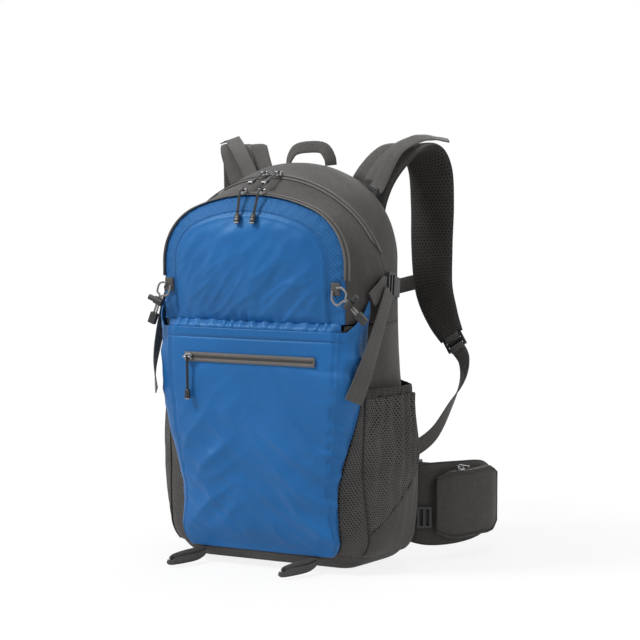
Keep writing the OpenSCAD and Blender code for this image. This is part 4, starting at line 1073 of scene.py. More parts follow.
# Stash pocket
def stash_seam(r):
    """Where the seams run up the stash pocket between its front and its sides."""
    return np.interp(r, [0, 0.35, 0.675, 1], [0.665, 0.6, 0.545, 0.55])


def stash_relief(q, r):
    """Height of the stash pocket's seams, hem and pulled folds, in millimetres.

    The folds are lower where the zip pull swings, and the corners make room for the cord ends.
    """
    base = stash(q, r, WALL)
    x, z = base[..., 0], base[..., 2]
    away = (np.abs(q) - stash_seam(r)) * 190
    groove = 0.6 * bell(away - 2.6, 1.8) - 1.5 * bell(away + 0.3, 1.0)
    down = (1 - r) * (HEM_Z - STASH_LO)
    hem = 0.5 * smooth((11 - down) / 1.6) - 1.2 * bell(down - 11.8, 1.0)
    slope, other = slanted(base, -0.8, 0.3), slanted(base, 0.7, 0.35)
    folds = ((clouds(slope, 32, 31.0) * 1.6 + creases(slope, 40, 61.0) * 3.6) * smooth((x + 10) / 90)
             + (clouds(other, 34, 47.0) * 1.6 + creases(other, 42, 71.0) * 3.2) * smooth((20 - x) / 90)
             + clouds(slope * [1.6, 1, 1], 17, 81.0) * 1.1
             + creases(slope * [0.8, 1, 1.15], 26, 91.0) * 1.6
             + clouds(base, 75, 13.0) * 2.2)
    pull_room = smooth((132 - np.abs(x)) / 45) * smooth((z - HEM_Z + 150) / 70)
    folds = folds * lerp(1.3, 0.55, pull_room)
    pucker = 0.8 * np.sin(down / 2.6 + 3 * clouds(base, 22, 8.0)) * bell(away, 8)
    calm = smooth((down - 8) / 54) * smooth((z - STASH_LO) / 30)
    calm = calm * smooth((1 - np.abs(q)) / 0.22) * (0.3 + 0.7 * smooth((x + 118) / 70))
    flat = 1 - 0.85 * bell(z - STASH_ZIP_Z, 12, 4) * smooth((104 - np.abs(x)) / 12)
    corner = 1.6 * smooth((np.abs(x) - 116) / 12) * smooth((z - HEM_Z + 34) / 14)
    return (groove + hem + folds * calm + pucker * calm) * flat - corner


def stash_line(q, r):
    """Line just above the stash pocket's cloth."""
    return stash(q, r, WALL + stash_relief(q, r) + 0.1)


def stash_up(q, r):
    """Unit normal of the stash pocket."""
    step = 1e-3
    rise = stash(q, r + step, WALL) - stash(q, r - step, WALL)
    return unit(np.cross(stash(q + step, r, WALL) - stash(q - step, r, WALL), rise))


def build_panel_root():
    """Gathered blue cloth between the panel's foot and the inside of the stash pocket, in the darker blue of
    painted shade.
    """
    x, k = grid(np.linspace(-122, 122, 180), np.linspace(0, 1, 16))
    stops = [0, 0.5, 0.75, 0.9, 1]
    z = np.interp(k, stops, [284, 300, 307.5, 312, 316])
    out = np.interp(k, stops, [2.6, 8.4, 7.6, 2.6, -0.8]) * smooth((124 - np.abs(x)) / 16)
    y = Y_FRONT - SEAM - WALL - out
    flat = points_at(x, y, z)
    outer = flat - points_at(0, (0.4 + 1.2 * k**3) * gathers(flat), 0)
    obj = shell("panel_root_cloth", outer, outer + [0, 0.9, 0], ["blue_shaded"])
    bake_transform(obj)


def build_stash():
    half = np.linspace(0.012, 1, 84)
    qs = np.concatenate([-half[::-1], [0], half])
    r, q = grid(spaced((0, 0.06, 8), (0.06, 0.95, 86), (0.95, 1, 14)), qs)
    edge = smooth((1 - np.abs(q)) / 0.16)
    lift = np.clip(stash_relief(q, r) * edge * smooth(r / 0.05), -1.6, 5.5)
    outer, inner = stash(q, r, WALL + lift), stash(q, r, np.minimum(0.0, lift + 1.3))
    # Painted shade: the stash pocket's sides beyond its seams take the darker copy of the blue.
    side = np.abs(cell_mid(q)) > stash_seam(r[:-1, :-1])
    obj = shell("stash_cloth", outer, inner, ["blue_front", "blue_shaded"], side.astype(int))
    placed(obj, "pack", "blue", "stash_pocket")
    build_panel_root()
    rs = np.linspace(0.02, 0.985, 120)
    for s in (-1, 1):
        k = s * (stash_seam(rs) + 0.018)
        sew("pack", "blue_thread", stash_line(k, rs), stash_up(k, rs) * -s)
    stitch_drop = 9.0
    k = np.linspace(-0.97, 0.97, 200)
    hem_r = np.full_like(k, 1 - stitch_drop / (HEM_Z - STASH_LO))
    sew("pack", "blue_thread", stash_line(k, hem_r), (0, -1, 0))


# Mesh side pockets: start and slope of the gray foot's binding, and height of the hem
BIND_S, BIND_SLOPE = 0.15, 0.1545
HEM_U = 0.33 * MESH_HEM / FOLD_Z


def pocket_seam(w):
    """Where the piping runs down a side pocket."""
    return np.interp(w, [MESH_W0, FOOT_U, MESH_W1], [0.02, BIND_S, 0.17])


def binding_w(s):
    """Where the binding crosses a side pocket above its gray foot."""
    return FOOT_U - (s - BIND_S) * BIND_SLOPE


def pocket_lift(w, s, sign):
    """Height of a side pocket's pleats and seams, in millimetres."""
    base = mesh_pt(w, s, MESH_T)
    depth = (w - MESH_W0) * 930
    behind = smooth((s - pocket_seam(w)) / 0.06)
    pleat = (np.exp(-depth / 120) * 4.6 * np.sin(s * 52 + 2.5 * clouds(base, 40, 3.0 + sign)) * behind
             + creases(base * [1.3, 1.3, 0.3], 26, 5.0) * 3.0 * behind * np.exp(-depth / 150))
    below = (w - binding_w(s)) * 900
    pleat = pleat * (1 - 0.8 * (below > 0) * (s > BIND_S))
    soft = clouds(base, 50, 15.0 + sign) * 1.2
    piping, binding = bell((s - pocket_seam(w)) * 150, 2.0), bell(below, 2.2) * (s > 0.14)
    edge = smooth(np.minimum(s, 1 - s) / 0.03) * smooth((MESH_W1 - w) / 0.02)
    return np.maximum((pleat + soft - piping - binding) * edge, -1.7)


def pocket_hem(side, flip):
    """Gathered elastic hem along the top of a side pocket."""
    foot = MESH_W0 - 0.0006
    w, s = grid(foot - HEM_U * np.array([0, 0.1, 0.3, 0.5, 0.7, 0.9, 1.0]), np.linspace(0, 1, 150))
    up = (foot - w) / HEM_U
    ends = smooth(np.minimum(s, 1 - s) / 0.04)
    ruffle = 0.9 * np.sin(s * 95 + 3 * clouds(mesh_pt(w, s, 0), 35, 2.0)) * ends
    round_off = 0.9 * np.sin(math.pi * np.clip(up, 0.02, 0.98)) ** 0.5
    outer = mesh_pt(w, s, MESH_T + 0.2 + round_off + ruffle * ends)
    inner = mesh_pt(w, s, np.maximum(0.2, 0.4 + ruffle))
    return shell(f"side_pocket_hem_{side}", outer * flip, inner * flip, ["elastic_hem"])


def build_side_pocket(side, sign):
    flip = np.array([sign, 1, 1])
    ws = spaced((MESH_W0, 0.66, 24), (0.66, MESH_W1, 44))
    w, s = grid(ws, spaced((0, 0.22, 34), (0.22, 0.9, 70), (0.9, 1, 14)))
    lift = pocket_lift(w, s, sign)
    gray = (s > BIND_S) & (w > binding_w(s))
    foot = (gray[:-1, :-1] & gray[1:, 1:]).astype(int)
    outer = mesh_pt(w, s, MESH_T + lift) * flip
    inner = mesh_pt(w, s, np.maximum(0.1, 0.1 + lift)) * flip
    cloth = shell(f"side_pocket_cloth_{side}", outer, inner, ["pocket_mesh", "gray_cloth"], foot)
    wv = np.linspace(MESH_W0 + 0.002, MESH_W1 - 0.004, 60)
    pipe_line = mesh_pt(wv, pocket_seam(wv), MESH_T + 0.5) * flip
    pipe = tube(f"side_pocket_piping_{side}", pipe_line, 1.1, "piping")
    sg = np.linspace(BIND_S, 0.985, 60)
    bind_line = mesh_pt(binding_w(sg), sg, MESH_T + 0.2) * flip
    bind = tube(f"side_pocket_binding_{side}", bind_line, 0.8, "piping")
    obj = joined(f"side_pocket_{side}_made", [cloth, pipe, bind, pocket_hem(side, flip)])
    placed(obj, "pack", "mesh", f"side_pocket_{side}")


# Zips
TAPE_V = TAPE_W / BODY_D
MAIN_END, PANEL_END = 0.33, 0.44
SLIDER_L, BAIL_R, PLAY, PULL_L = 11.0, 0.9, 0.4, 40.0
RING_R = BAIL_R + PLAY + 1.1
BAIL_Z = 1.8 + RING_R + 0.4
SLIDER_OFF = SEAM + TAPE_T + PLAY
STASH_ZIP_Y = float(stash(0.0, (STASH_ZIP_Z - STASH_LO) / (HEM_Z - STASH_LO), WALL)[1]) - 2 * SEAM


def tape_shell(name, us, va, vb, coil_at_end):
    """Half of a zip tape on the bag's skin, thicker along the edge that carries the coil."""
    u, v = grid(us, np.linspace(va, vb, 7))
    k = np.abs(np.arange(7) / 6 - (0 if coil_at_end else 1))
    lip = TAPE_T - 0.45 + 0.45 * bell(1 - k, 0.5) + 0.25 * np.sin(np.pi * k) ** 2
    return shell(name, form(u, v, SEAM + np.broadcast_to(lip, u.shape)), form(u, v, SEAM), ["zip_tape"])


def skin_up(u, v):
    """Unit normal of the bag's skin."""
    return unit(form(u, v, 1.0) - form(u, v, 0.0))


def teeth(name, line, up, spacing, size):
    """Row of coil teeth along a line of points."""
    return row(name, [line], [np.broadcast_to(up, line.shape)], "Zip teeth", spacing, size, "zip_coil")


def skin_row(name, us, v, body, shift_y=0.0):
    """Row of coil teeth along a tape on the bag's skin."""
    line = form(us, v, SEAM + TAPE_T) + [0, shift_y, 0]
    placed(teeth(name, line, skin_up(us, v), spacing=1.5, size=(0.95, 2.0, 1.0)), body, "tape")


def build_zips():
    main, dome = np.linspace(-MAIN_END, MAIN_END, 150), np.linspace(-PANEL_END, PANEL_END, 170)
    rear = tape_shell("main_zip_rear_half", main, V_ZIP - TAPE_V, V_ZIP - SLIT, True)
    placed(rear, "pack", "tape", "main_zip_rear_tape")
    front = tape_shell("main_zip_front_half", main, V_ZIP + SLIT, V_ZIP + TAPE_V, False)
    back = tape_shell("panel_zip_rear_half", dome, 1 - TAPE_V, 1.0, True)
    placed(joined("flap_zip_halves", [front, back]), "flap", "tape", "flap_zip_tapes")
    outer, inner = form(dome, 1.0, SEAM + TAPE_T)[:, None], form(dome, 1.0, SEAM)[:, None]
    step = points_at(0, -SEAM - TAPE_W * np.linspace(0, 1, 7), 0)[None]
    tape = shell("panel_zip_front_half", outer + step, inner + step, ["zip_tape"])
    placed(tape, "panel", "tape", "panel_zip_front_tape")
    skin_row("main_zip_rear_teeth", main, V_ZIP - 1.3 / BODY_D, "pack")
    skin_row("main_zip_front_teeth", main, V_ZIP + 1.3 / BODY_D, "flap")
    skin_row("panel_zip_rear_teeth", dome, 1 - 1.2 / BODY_D, "flap")
    skin_row("panel_zip_front_teeth", dome, 1.0, "panel", -SEAM - 1.3)
    for u, v, body in ((main, V_ZIP - TAPE_V * 0.8, "pack"), (main, V_ZIP + TAPE_V * 0.8, "flap"),
                       (dome, 1 - TAPE_V * 0.8, "flap")):
        sew(body, "gray_thread", form(u, v, SEAM + TAPE_T - 0.3), skin_up(u, v))
    build_stash_zip()


def build_stash_zip():
    """Straight welted zip: two folded lips with the coil between them."""
    line = np.linspace(-STASH_ZIP_L / 2, STASH_ZIP_L / 2, 120)
    x, z = grid(line, np.linspace(-TAPE_W, TAPE_W, 25))
    a = np.abs(z)
    lip = TAPE_T + 0.5 * bell(a - 3.6, 1.2, 4) - 0.5 * bell(a, 1.9, 4) - 0.4 * smooth((a - 5.2) / 0.8)
    ends = smooth((STASH_ZIP_L / 2 - np.abs(x)) / 1.2)
    outer = points_at(x, STASH_ZIP_Y - lip * (0.6 + 0.4 * ends), STASH_ZIP_Z + z)
    inner = points_at(x, STASH_ZIP_Y, STASH_ZIP_Z + z)
    welt = shell("stash_zip_welt", outer, inner, ["zip_tape"])
    coil_line = points_at(line[2:-2], STASH_ZIP_Y - 0.75, STASH_ZIP_Z)
    coil = teeth("stash_zip_coil", coil_line, (0, -1, 0), spacing=1.4, size=(0.85, 3.2, 0.8))
    placed(joined("stash_zip_made", [welt, coil]), "pack", "tape", "stash_zip")
    for s in (-1, 1):
        seam = points_at(line[1:-1], STASH_ZIP_Y - TAPE_T - 0.25, STASH_ZIP_Z + s * 4.6)
        sew("pack", "gray_thread", seam, (0, -1, 0))


def turn_x(a):
    return np.array(Matrix.Rotation(math.radians(a), 4, "X"))


def turn_y(a):
    return np.array(Matrix.Rotation(math.radians(a), 4, "Y"))


def move(x, y, z):
    return np.array(Matrix.Translation((x, y, z)))


def on_main(a):
    _, rise, crown, _, _ = arch(np.float64(V_ZIP))
    p, q = form(0.001, V_ZIP - 0.03), form(0.001, V_ZIP + 0.03)
    tilt = math.degrees(math.atan2(p[2] - q[2], p[1] - q[1]))
    return (move(0, depth_y(np.float64(V_ZIP), 400.0), at(np.float64(V_ZIP), SPRING_Z)) @ turn_x(ZIP_LEAN)
            @ move(0, 0, rise - crown) @ turn_y(a) @ move(0, 0, crown) @ turn_x(tilt - ZIP_LEAN)
            @ move(0, 0, SLIDER_OFF + 0.2))


def on_panel(a):
    crown = arch(np.float64(1))[2]
    return (move(0, Y_FRONT - SEAM / 2 - 1, PANEL_H - crown) @ turn_y(a) @ move(0, 0, crown) @ turn_x(8)
            @ move(0, 0, SLIDER_OFF + 0.5))


def on_stash(off):
    first_x = -STASH_ZIP_L / 2 + SLIDER_L / 2 + 1
    return move(first_x, STASH_ZIP_Y - TAPE_T - PLAY - off, STASH_ZIP_Z) @ turn_x(90)


def laid(points, place):
    p = np.asarray(points, float)
    return p @ place[:3, :3].T + place[:3, 3]


# Stops along a moulded pull end with its half width and half thickness, and where its plated tip starts
PULL_END = [(-3, 2.04, 1.44), (-2.6, 2.76, 1.92), (-1.6, 3.12, 2.16), (-1.2, 2.76, 1.92), (-0.6, 2.76, 1.92),
            (-0.2, 3.36, 2.28), (0.6, 3.6, 2.4), (1, 3.12, 2.16), (1.5, 3.12, 2.16), (1.9, 3.6, 2.4),
            (2.7, 3.6, 2.4), (3.1, 3.24, 2.16), (3.6, 3.24, 2.16), (4, 3.6, 2.4), (6, 3.6, 2.4),
            (8.2, 3.6, 2.4), (8.5, 3.36, 2.22), (8.8, 3.36, 2.22), (9.4, 3.24, 2.16), (9.8, 2.76, 1.8),
            (10, 1.68, 1.08)]
PULL_TIP, PULL_SIDES = 8.5, 20


def cord_pull(name, points, place):
    """Cord pull: a loop of cord round the bail, two strands and a ribbed moulded end with a plated tip."""
    p = np.array([(0.0, y, z) for y, z in points])
    line = path(p, 8)
    run = length_along(line)
    keep = (run > RING_R - 0.7) & (run < run[-1] - 1.5)
    ang, r = np.linspace(0, 2 * math.pi, 25), BAIL_R + PLAY + 0.56
    parts = []
    for s in (-1, 1):
        ring = points_at(s * 0.6, r * np.cos(ang), r * np.sin(ang))
        parts.append(tube(f"{name}_loop", laid(ring, place), 0.6, "soft_black"))
        parts.append(tube(f"{name}_strand", laid(line[keep] + [s * 0.9, 0, 0], place), 0.9, "soft_black"))
    d, side = unit(p[-1] - p[-2]), np.array([1.0, 0, 0])
    flat = np.cross(d, side)
    g = np.linspace(0, 2 * math.pi, PULL_SIDES, endpoint=False)
    cx, cy = squared_off(np.cos(g), 0.6), squared_off(np.sin(g), 0.6)
    rings = np.array([p[-1] + d * s + side * (cx * w)[:, None] + flat * (cy * t)[:, None]
                      for s, w, t in PULL_END])
    plated = [[int(s >= PULL_TIP)] * PULL_SIDES for s, _, _ in PULL_END[:-1]]
    uv = np.zeros(rings.shape[:2] + (2,))
    parts.append(rings_mesh(f"{name}_end", laid(rings, place), ["soft_black", "zip_metal"], uv, plated))
    return placed(joined(name + "_made", parts), name, "black", name)


def build_pulls():
    lift = move(0, 0, BAIL_Z)
    main = [(0, 0), (-10, 1), (-PULL_L + 8, 1.5)]
    dome = [(0, 0), (-9, 0), (-16, -PULL_L * 0.32), (-PULL_L * 0.6, -PULL_L * 0.72)]
    for side, s in SIDES[::-1]:
        cord_pull(f"main_zip_pull_{side}", main, on_main(3.5 * s) @ lift)
        cord_pull(f"panel_zip_pull_{side}", dome, on_panel(3.5 * s) @ lift)
    cord_pull("stash_zip_pull", [(0, 0), (-10, -0.5), (-PULL_L * 1.1, -1)], on_stash(BAIL_Z))


# Bungees: right side first, then the left side, which hangs steeper
TAB_Z, TAB_X = FOLD_Z + 45, PANEL_W / 2 - 9.5
TAB_Y = float(Y_FRONT - SEAM - WALL - panel_belly(np.float64(0.87), TAB_Z) - SEAM)
LOCK_OFFS = [(21, 0, -18), (13, 0, -22)]
CORD_DIRS = [np.array(d) / np.linalg.norm(d) for d in ((0.72, 0, -0.7), (0.36, 0, -0.93))]
LOOP_OUT = [((-2, 0, -13), (5, 0, -19)), ((-3, 0, -8), (1, 0, -14))]
LOOP_BACK = [((17, 0, -5), (11, 0, 2)), ((15, 0, -9), (11, 0, 1))]


def bungee_points(k):
    tab = np.array([TAB_X, TAB_Y - 6, TAB_Z])
    lock, c = tab + LOCK_OFFS[k], CORD_DIRS[k]
    across_lock = np.array([-c[2], 0, c[0]])

    def strand(d, s):
        return lock + c * d + across_lock * s * (BUNGEE_D / 2 + 0.4)

    def on_tab(x, z):
        return np.array([TAB_X + x, TAB_Y - 2.5 - BUNGEE_D / 2, TAB_Z + z])

    return [on_tab(-3, -2), tab + LOOP_OUT[k][0], tab + LOOP_OUT[k][1], strand(-8, -1), strand(0, -1),
            strand(10, -1), strand(21, -1), strand(23.4, 0), strand(21, 1), strand(10, 1), strand(0, 1),
            strand(-8, 1), tab + LOOP_BACK[k][0], tab + LOOP_BACK[k][1], on_tab(3, 2)]


def build_bungees():
    for k, (side, sign) in enumerate(SIDES):
        line = path(bungee_points(k), 7) * [sign, 1, 1]
        cord = tube(f"bungee_{side}", line, BUNGEE_D / 2, "elastic_cord", 12)
        placed(cord, "panel", "elastic", f"bungee_cord_{side}")
    tabs = []
    for s in (-1, 1):
        x = s * TAB_X
        points = [(x, TAB_Y - 1.2, TAB_Z + z) for z in (-8, 0, 8)]
        tabs.append(webbing("bungee_tab", points, [(1, 0, 0)] * 2, w=12, t=2.4, per=4))
        for z in (-6, 6):
            line = [(x - 5, TAB_Y - 2.5, TAB_Z + z), (x + 5, TAB_Y - 2.5, TAB_Z + z)]
            sew("panel", "light_thread", line, (0, -1, 0))
    placed(joined("bungee_tabs_made", tabs), "panel", "webbing", "bungee_tabs")


# Shoulder straps
SPLAY = {"right": -6.0, "left": 38.0}
STRAP_PTS = [(70, ROOT_Y, BODY_H - 88), (72, ROOT_Y + 2, BODY_H - 52), (82, ROOT_Y + 20, BODY_H - 16),
             (100, ROOT_Y + 52, BODY_H + 15), (117, ROOT_Y + 80, BODY_H + 17), (126, ROOT_Y + 96, BODY_H - 8),
             (128, ROOT_Y + 100, BODY_H - 56), (128, ROOT_Y + 98, BODY_H - 110),
             (133, ROOT_Y + 91, BODY_H - 165), (149, ROOT_Y + 81, BODY_H - 203),
             (167, ROOT_Y + 70, BODY_H - 228)]
STRAP_DIRS = [(1, 0, 0), (1, 0, 0), (1, 0, 0), (1, 0, 0.15)]
STRAP_WS = [STRAP_W * k for k in (0.86, 0.96, 1, 1, 1, 0.97, 0.9, 0.74, 0.52)]
STRAP_TS = [9, STRAP_T * 0.85] + [STRAP_T] * 5 + [STRAP_T * 0.9, STRAP_T * 0.7]


def strap_line(f, per):
    """Middle of a shoulder strap that is splayed outwards by f millimetres."""
    i = np.arange(len(STRAP_PTS))
    shift = f * smooth(i / 3) * (1 - 0.5 * smooth((i - 6) / 4))
    return path(np.array(STRAP_PTS) + points_at(shift, 0, 0), per)


def build_straps():
    for side, s in SIDES:
        flip = np.array([s, 1, 1])
        p = strap_line(SPLAY[side], 9)
        obj, a, b, w, t, pins = pad_loft(f"shoulder_strap_{side}_made", p, STRAP_DIRS, STRAP_WS,
                                         [k * 0.86 for k in STRAP_TS], ["gray_pad", "air_mesh"], strip=12)
        mirror_mesh(obj, flip)
        placed(obj, "pack", "mesh", f"shoulder_strap_{side}")
        pad_later(obj, pins, cap=2.2)
        placed(edge_binding(f"strap_binding_{side}", p, a * (w / 2 - 0.4), flip), "pack", "gray")
        mid = slice(int(0.17 * len(p)), int(0.975 * len(p)))
        under = p - b * (t * 0.43 + 0.75)
        strip = webbing(f"strap_webbing_{side}", under[mid] * flip, a[mid] * flip, WEB_S, t=1.5, per=1)
        placed(strip, "pack", "webbing")
        for k in (-1, 1):
            seam = p - b * (t * 0.43 + 1.55) + a * k * 8
            sew("pack", "light_thread", seam[mid] * flip, -b[mid] * flip)
            seam = p - b * (t * 0.3) + a * k * (w / 2 - 3.2)
            sew("pack", "gray_thread", seam[2:-2] * flip, -b[2:-2] * flip)


def mirror_mesh(obj, flip):
    """Mirrors a mesh at the middle of the bag and turns its faces outwards again."""
    if flip[0] > 0:
        return
    obj.data.vertices.foreach_set("co", (points_of(obj) * flip).ravel())
    obj.data.flip_normals()


# Webbing
LIFT_V, LIFT_W = 0.086, 0.305
LIFT_DIR = np.array([1, 0, -0.3])
LOWER_DIRS = np.array([(1, 0, 0.15), (0.85, -0.4, 0.2), (0.55, -0.65, 0.45), (0.1, -0.5, 0.85), (0, 0, 1),
                       (0, 0, 1)])
TAIL_DIRS = np.array([(0, 0.92, -0.38), (0.2, 0.88, -0.4), (0.55, 0.72, -0.4)])


def lifter_frame():
    """Place of the right load lifter's lock, and the direction of its strap there."""
    al = math.degrees(float(arch(np.float64(LIFT_V))[4]))
    a = math.radians(al + (90 - al) * (LIFT_W - CROWN_U) / (SPRING_U - CROWN_U))
    tilt = math.radians(14)
    y = np.array([-math.sin(tilt) * math.sin(a), math.cos(tilt), -math.sin(tilt) * math.cos(a)])
    return form(LIFT_W, LIFT_V, 3.0), y


def lifter_points(f):
    p, y = lifter_frame()
    return [p + y * (LOCK_L / 2 + 1), p + y * (LOCK_L / 2 + 12) + [2, 0, 4],
            (106 + f * 0.6, ROOT_Y + 24, BODY_H + 14), (122 + f * 0.9, ROOT_Y + 54, BODY_H + 30),
            (134 + f * 0.9, ROOT_Y + 72, BODY_H + 33), (146 + f * 0.9, ROOT_Y + 84, BODY_H + 31),
            (155 + f * 0.9, ROOT_Y + 90, BODY_H + 29)]


def lower_frame(f):
    """Place of the ladder lock at a shoulder strap's lower end, and the direction of the strap there."""
    p = strap_line(f, 3)
    g = tangents(p)[-1]
    return p[-1] + g * (LOCK_L / 2 + 0.6), g


def lower_points(f):
    a, g = lower_frame(f)
    b = a + g * (LOCK_L / 2 + 20)
    return [a + g * (LOCK_L / 2 + 0.8), b, b + [2, -9, -24], (176, ROOT_Y + 40, 196), (160, ROOT_Y + 20, 158),
            (137, REAR_Y + 4, 138), (106, REAR_Y + 1.1, 133)]


def lock_webbing(a, g, x, tongue):
    """Webbing woven over a ladder lock's middle bar, and the strap's tongue folded round its end bar."""
    g = unit(g)
    x = x - g * (x @ g)
    n = np.cross(unit(x), g)

    def ribbon(stops):
        return webbing("strap", [a + g * d + n * h for d, h in stops], [x] * 2, WEB_S, per=5)

    made = [ribbon([(14, -1.7), (10.4, -2.8), (6.2, -2.7), (4, 0), (1.6, 2.7), (-1.5, 2.7), (-2.7, 0.3),
                    (-2.8, -2.6)])]
    if tongue:
        made.append(ribbon([(-19, 1.6), (-10.2, 2.7), (-6.4, 2.7), (-4.6, 0.6), (-4.6, -0.6), (-6.4, -2.7),
                            (-10.2, -2.7), (-19, -1.6)]))
    return made


def chest_points(f):
    y, z = ROOT_Y + 100, BODY_H - 172
    return [(116 + f * 0.9, y + 1, z + 14), (98 + f * 0.9, y + 2, z + 11), (62 + f * 0.4, y + 3, z + 3),
            (29.5, y + 3, z)]


def compression_points():
    """Rear strap, front strap and loose tail of the right compression strap."""
    z, turned = HEM_Z + 54, math.radians(7)
    y = lerp(Y_BACK, Y_FRONT, 0.55)
    front = y - LOCK_L / 2 - 0.6

    def lock_at(d):
        return (HALF_W + 3, y - d * math.cos(turned), z + d * math.sin(turned))

    def on_side(v, h):
        return (float(side_x(np.float64(v), h)) + SEAM + WEB_T / 2 + 0.7, lerp(Y_BACK, Y_FRONT, v), h)

    rear = [on_side(0.05, z - 8), on_side(0.14, z - 7), on_side(0.3, z - 5), lock_at(-LOCK_L / 2 - 7),
            lock_at(-LOCK_L / 2 - 0.7)]
    edge_y = float(depth_y(at(np.float64(340), EDGE_V), 340.0))
    fore = [lock_at(LOCK_L / 2 + 1.4), lock_at(LOCK_L / 2 + 9), (HALF_W + 2.2, front - 18, z - 5),
            (HALF_W - 1.2, edge_y - 1, z - 15)]
    tail = [(HALF_W + 7.3, front - 0.4, z - 6), (HALF_W + 7, front - 20, z - 36),
            (HALF_W + 4, front - 42, z - 76), (HALF_W - 0.5, front - 58, z - 108),
            (HALF_W - 9, front - 68, z - 138)]
    return rear, fore, tail


def build_webbing():
    rear, fore, tail = compression_points()
    parts, lifts, lows = [], [], []
    for side, s in SIDES:
        flip, f = np.array([s, 1, 1]), SPLAY[side]
        parts += [webbing("strap", rear * flip, [(0, 0.1, 1)] * 2, WEB_W),
                  webbing("strap", fore * flip, [(0, 0.2, 1)] * 2, WEB_W * 0.8),
                  webbing("strap", tail * flip, TAIL_DIRS * flip, WEB_W, per=10)]
        lifts.append(webbing("strap", lifter_points(f) * flip, [LIFT_DIR * flip] * 2, WEB_S))
        lows.append(webbing("strap", lower_points(f) * flip, LOWER_DIRS * flip, WEB_S))
        lock, g = lower_frame(f)
        lows += lock_webbing(lock * flip, g * flip, LOWER_DIRS[0] * flip, True)
        lock, g = lifter_frame()
        lifts += lock_webbing(lock * flip, g * flip, LIFT_DIR * flip, False)
        chest = webbing(f"sternum_webbing_{side}_made", chest_points(f) * flip, [(0, 0, 1)] * 2, WEB_S)
        placed(chest, "pack" if s < 0 else "sternum_right", "webbing", f"sternum_webbing_{side}")
    placed(joined("compression_straps_made", parts), "pack", "webbing", "compression_straps")
    placed(joined("load_lifters_made", lifts), "pack", "webbing", "load_lifter_straps")
    placed(joined("lower_webbing_made", lows), "pack", "webbing", "lower_webbing")
    loops = [tool_loop(x) for x in (-82, 78)]
    placed(joined("tool_loops_made", loops), "pack", "webbing", "tool_loops")
    build_haul_loop()


def tool_loop(x):
    o = np.array([x, float(depth_y(np.float64(1), 15.0)) - 0.7, 0])
    d = np.array([-0.36, -0.93, 0])
    steps = [(0, 15), (12, 15), (34, 14), (52, 11.5), (57, 9), (52, 7.5), (34, 7.2), (14, 8), (4, 11),
             (0.6, 13.2)]
    points = [o + d * k + [0, 0, h] for k, h in steps]
    rolled = [(0.4, -0.16, 0.9), (0.3, -0.12, 0.95), (0.3, -0.12, 0.95), (0.4, -0.16, 0.9)]
    return webbing("tool_loop", points, rolled, w=12, per=6)


def build_haul_loop():
    """Grab loop of doubled webbing at the top of the back."""
    y, z, h = Y_BACK - 12, BODY_H - 3.5, HAUL_RISE
    points = [(-31, y, z), (-29, y, z + h * 0.32), (-20, y, z + h * 0.7), (0, y, z + h * 0.82),
              (20, y, z + h * 0.76), (29, y, z + h * 0.36), (31, y, z)]
    dirs = [(-0.7, 0.7, 0), (-0.45, 0.5, 0.74), (0, 0.25, 0.97), (0.45, 0.5, 0.74), (0.7, 0.7, 0)]
    layers = ((16, 0.75), (15, -0.75))
    haul = [webbing("haul", points, dirs, w, t=1.4, per=10, lift=lift) for w, lift in layers]
    placed(joined("haul_loop_made", haul), "pack", "webbing", "haul_loop")


# Back pads
def back_pad(name, x0, x1, z0, z1, t, channels):
    """Foam pad on the back wall, drawn in along its sewn channels."""
    m, n = 61, 29
    i, j = np.linspace(0, 1, m)[:, None], np.linspace(0, 1, n)[None, :]

    def edge(k):
        return 0.35 + 0.65 * np.maximum(0, 1 - np.abs(2 * k - 1) ** 4) ** 0.5

    x = lerp(x0, x1, 0.5 + (j - 0.5) * (1 - 0.12 * np.abs(2 * i - 1) ** 6))
    z = np.broadcast_to(lerp(z0, z1, i), x.shape)
    dip = sum(bell(z - c, 4.5) for c in channels)
    high = t * 0.86 * edge(j) * edge(i) * (1 - 0.45 * dip)
    outer, inner = points_at(x, REAR_Y + high, z), points_at(x, REAR_Y + 0.2, z)
    obj = shell(name, outer, inner, ["air_mesh"])
    pins = np.zeros((m, n))
    pins[:2] = pins[-2:] = 1
    pins[:, :2] = pins[:, -2:] = 1
    pins[dip > 0.7] = 1
    for c in channels:
        k = np.argmin(np.abs(z[:, 0] - c))
        sew("pack", "gray_thread", outer[k, 2:-2] + [0, 0.2, 0], (0, 1, 0))
    return pad_later(obj, np.concatenate([pins.ravel(), np.ones(m * n)]), cap=2.0)


def build_back_pads():
    top = BODY_H - 100
    spine = [210, 268, 326, 380]
    right = back_pad("back_pad_right", x0=13, x1=92, z0=152, z1=top, t=11, channels=spine)
    left = back_pad("back_pad_left", x0=-92, x1=-13, z0=152, z1=top, t=11, channels=spine)
    lumbar = back_pad("back_pad_lumbar", x0=-98, x1=98, z0=34, z1=138, t=13, channels=[86])
    for obj in (right, left, lumbar):
        placed(obj, "pack", "mesh", "back_pads")


# Hip belt
WING_Z, WING_Y, WING_X = 68.0, REAR_Y + 0.4 * WING_T + 0.05, HALF_W - 17
WING_STEPS = [(0, 0), (17, 3), (37, 18), (55, 45), (65, 78), (68, 106), (63, 132)]
WING_PTS = [(WING_X + x, WING_Y + y, WING_Z) for x, y in WING_STEPS]
POCKET_H = WING_H * 0.84
UPRIGHT = [(0, 0, 1), (0, 0, 1)]


def beside(p, d):
    """Line at a distance beside another, on its outer side."""
    return p + unit(np.cross(tangents(p), [0, 0, 1.0])) * d


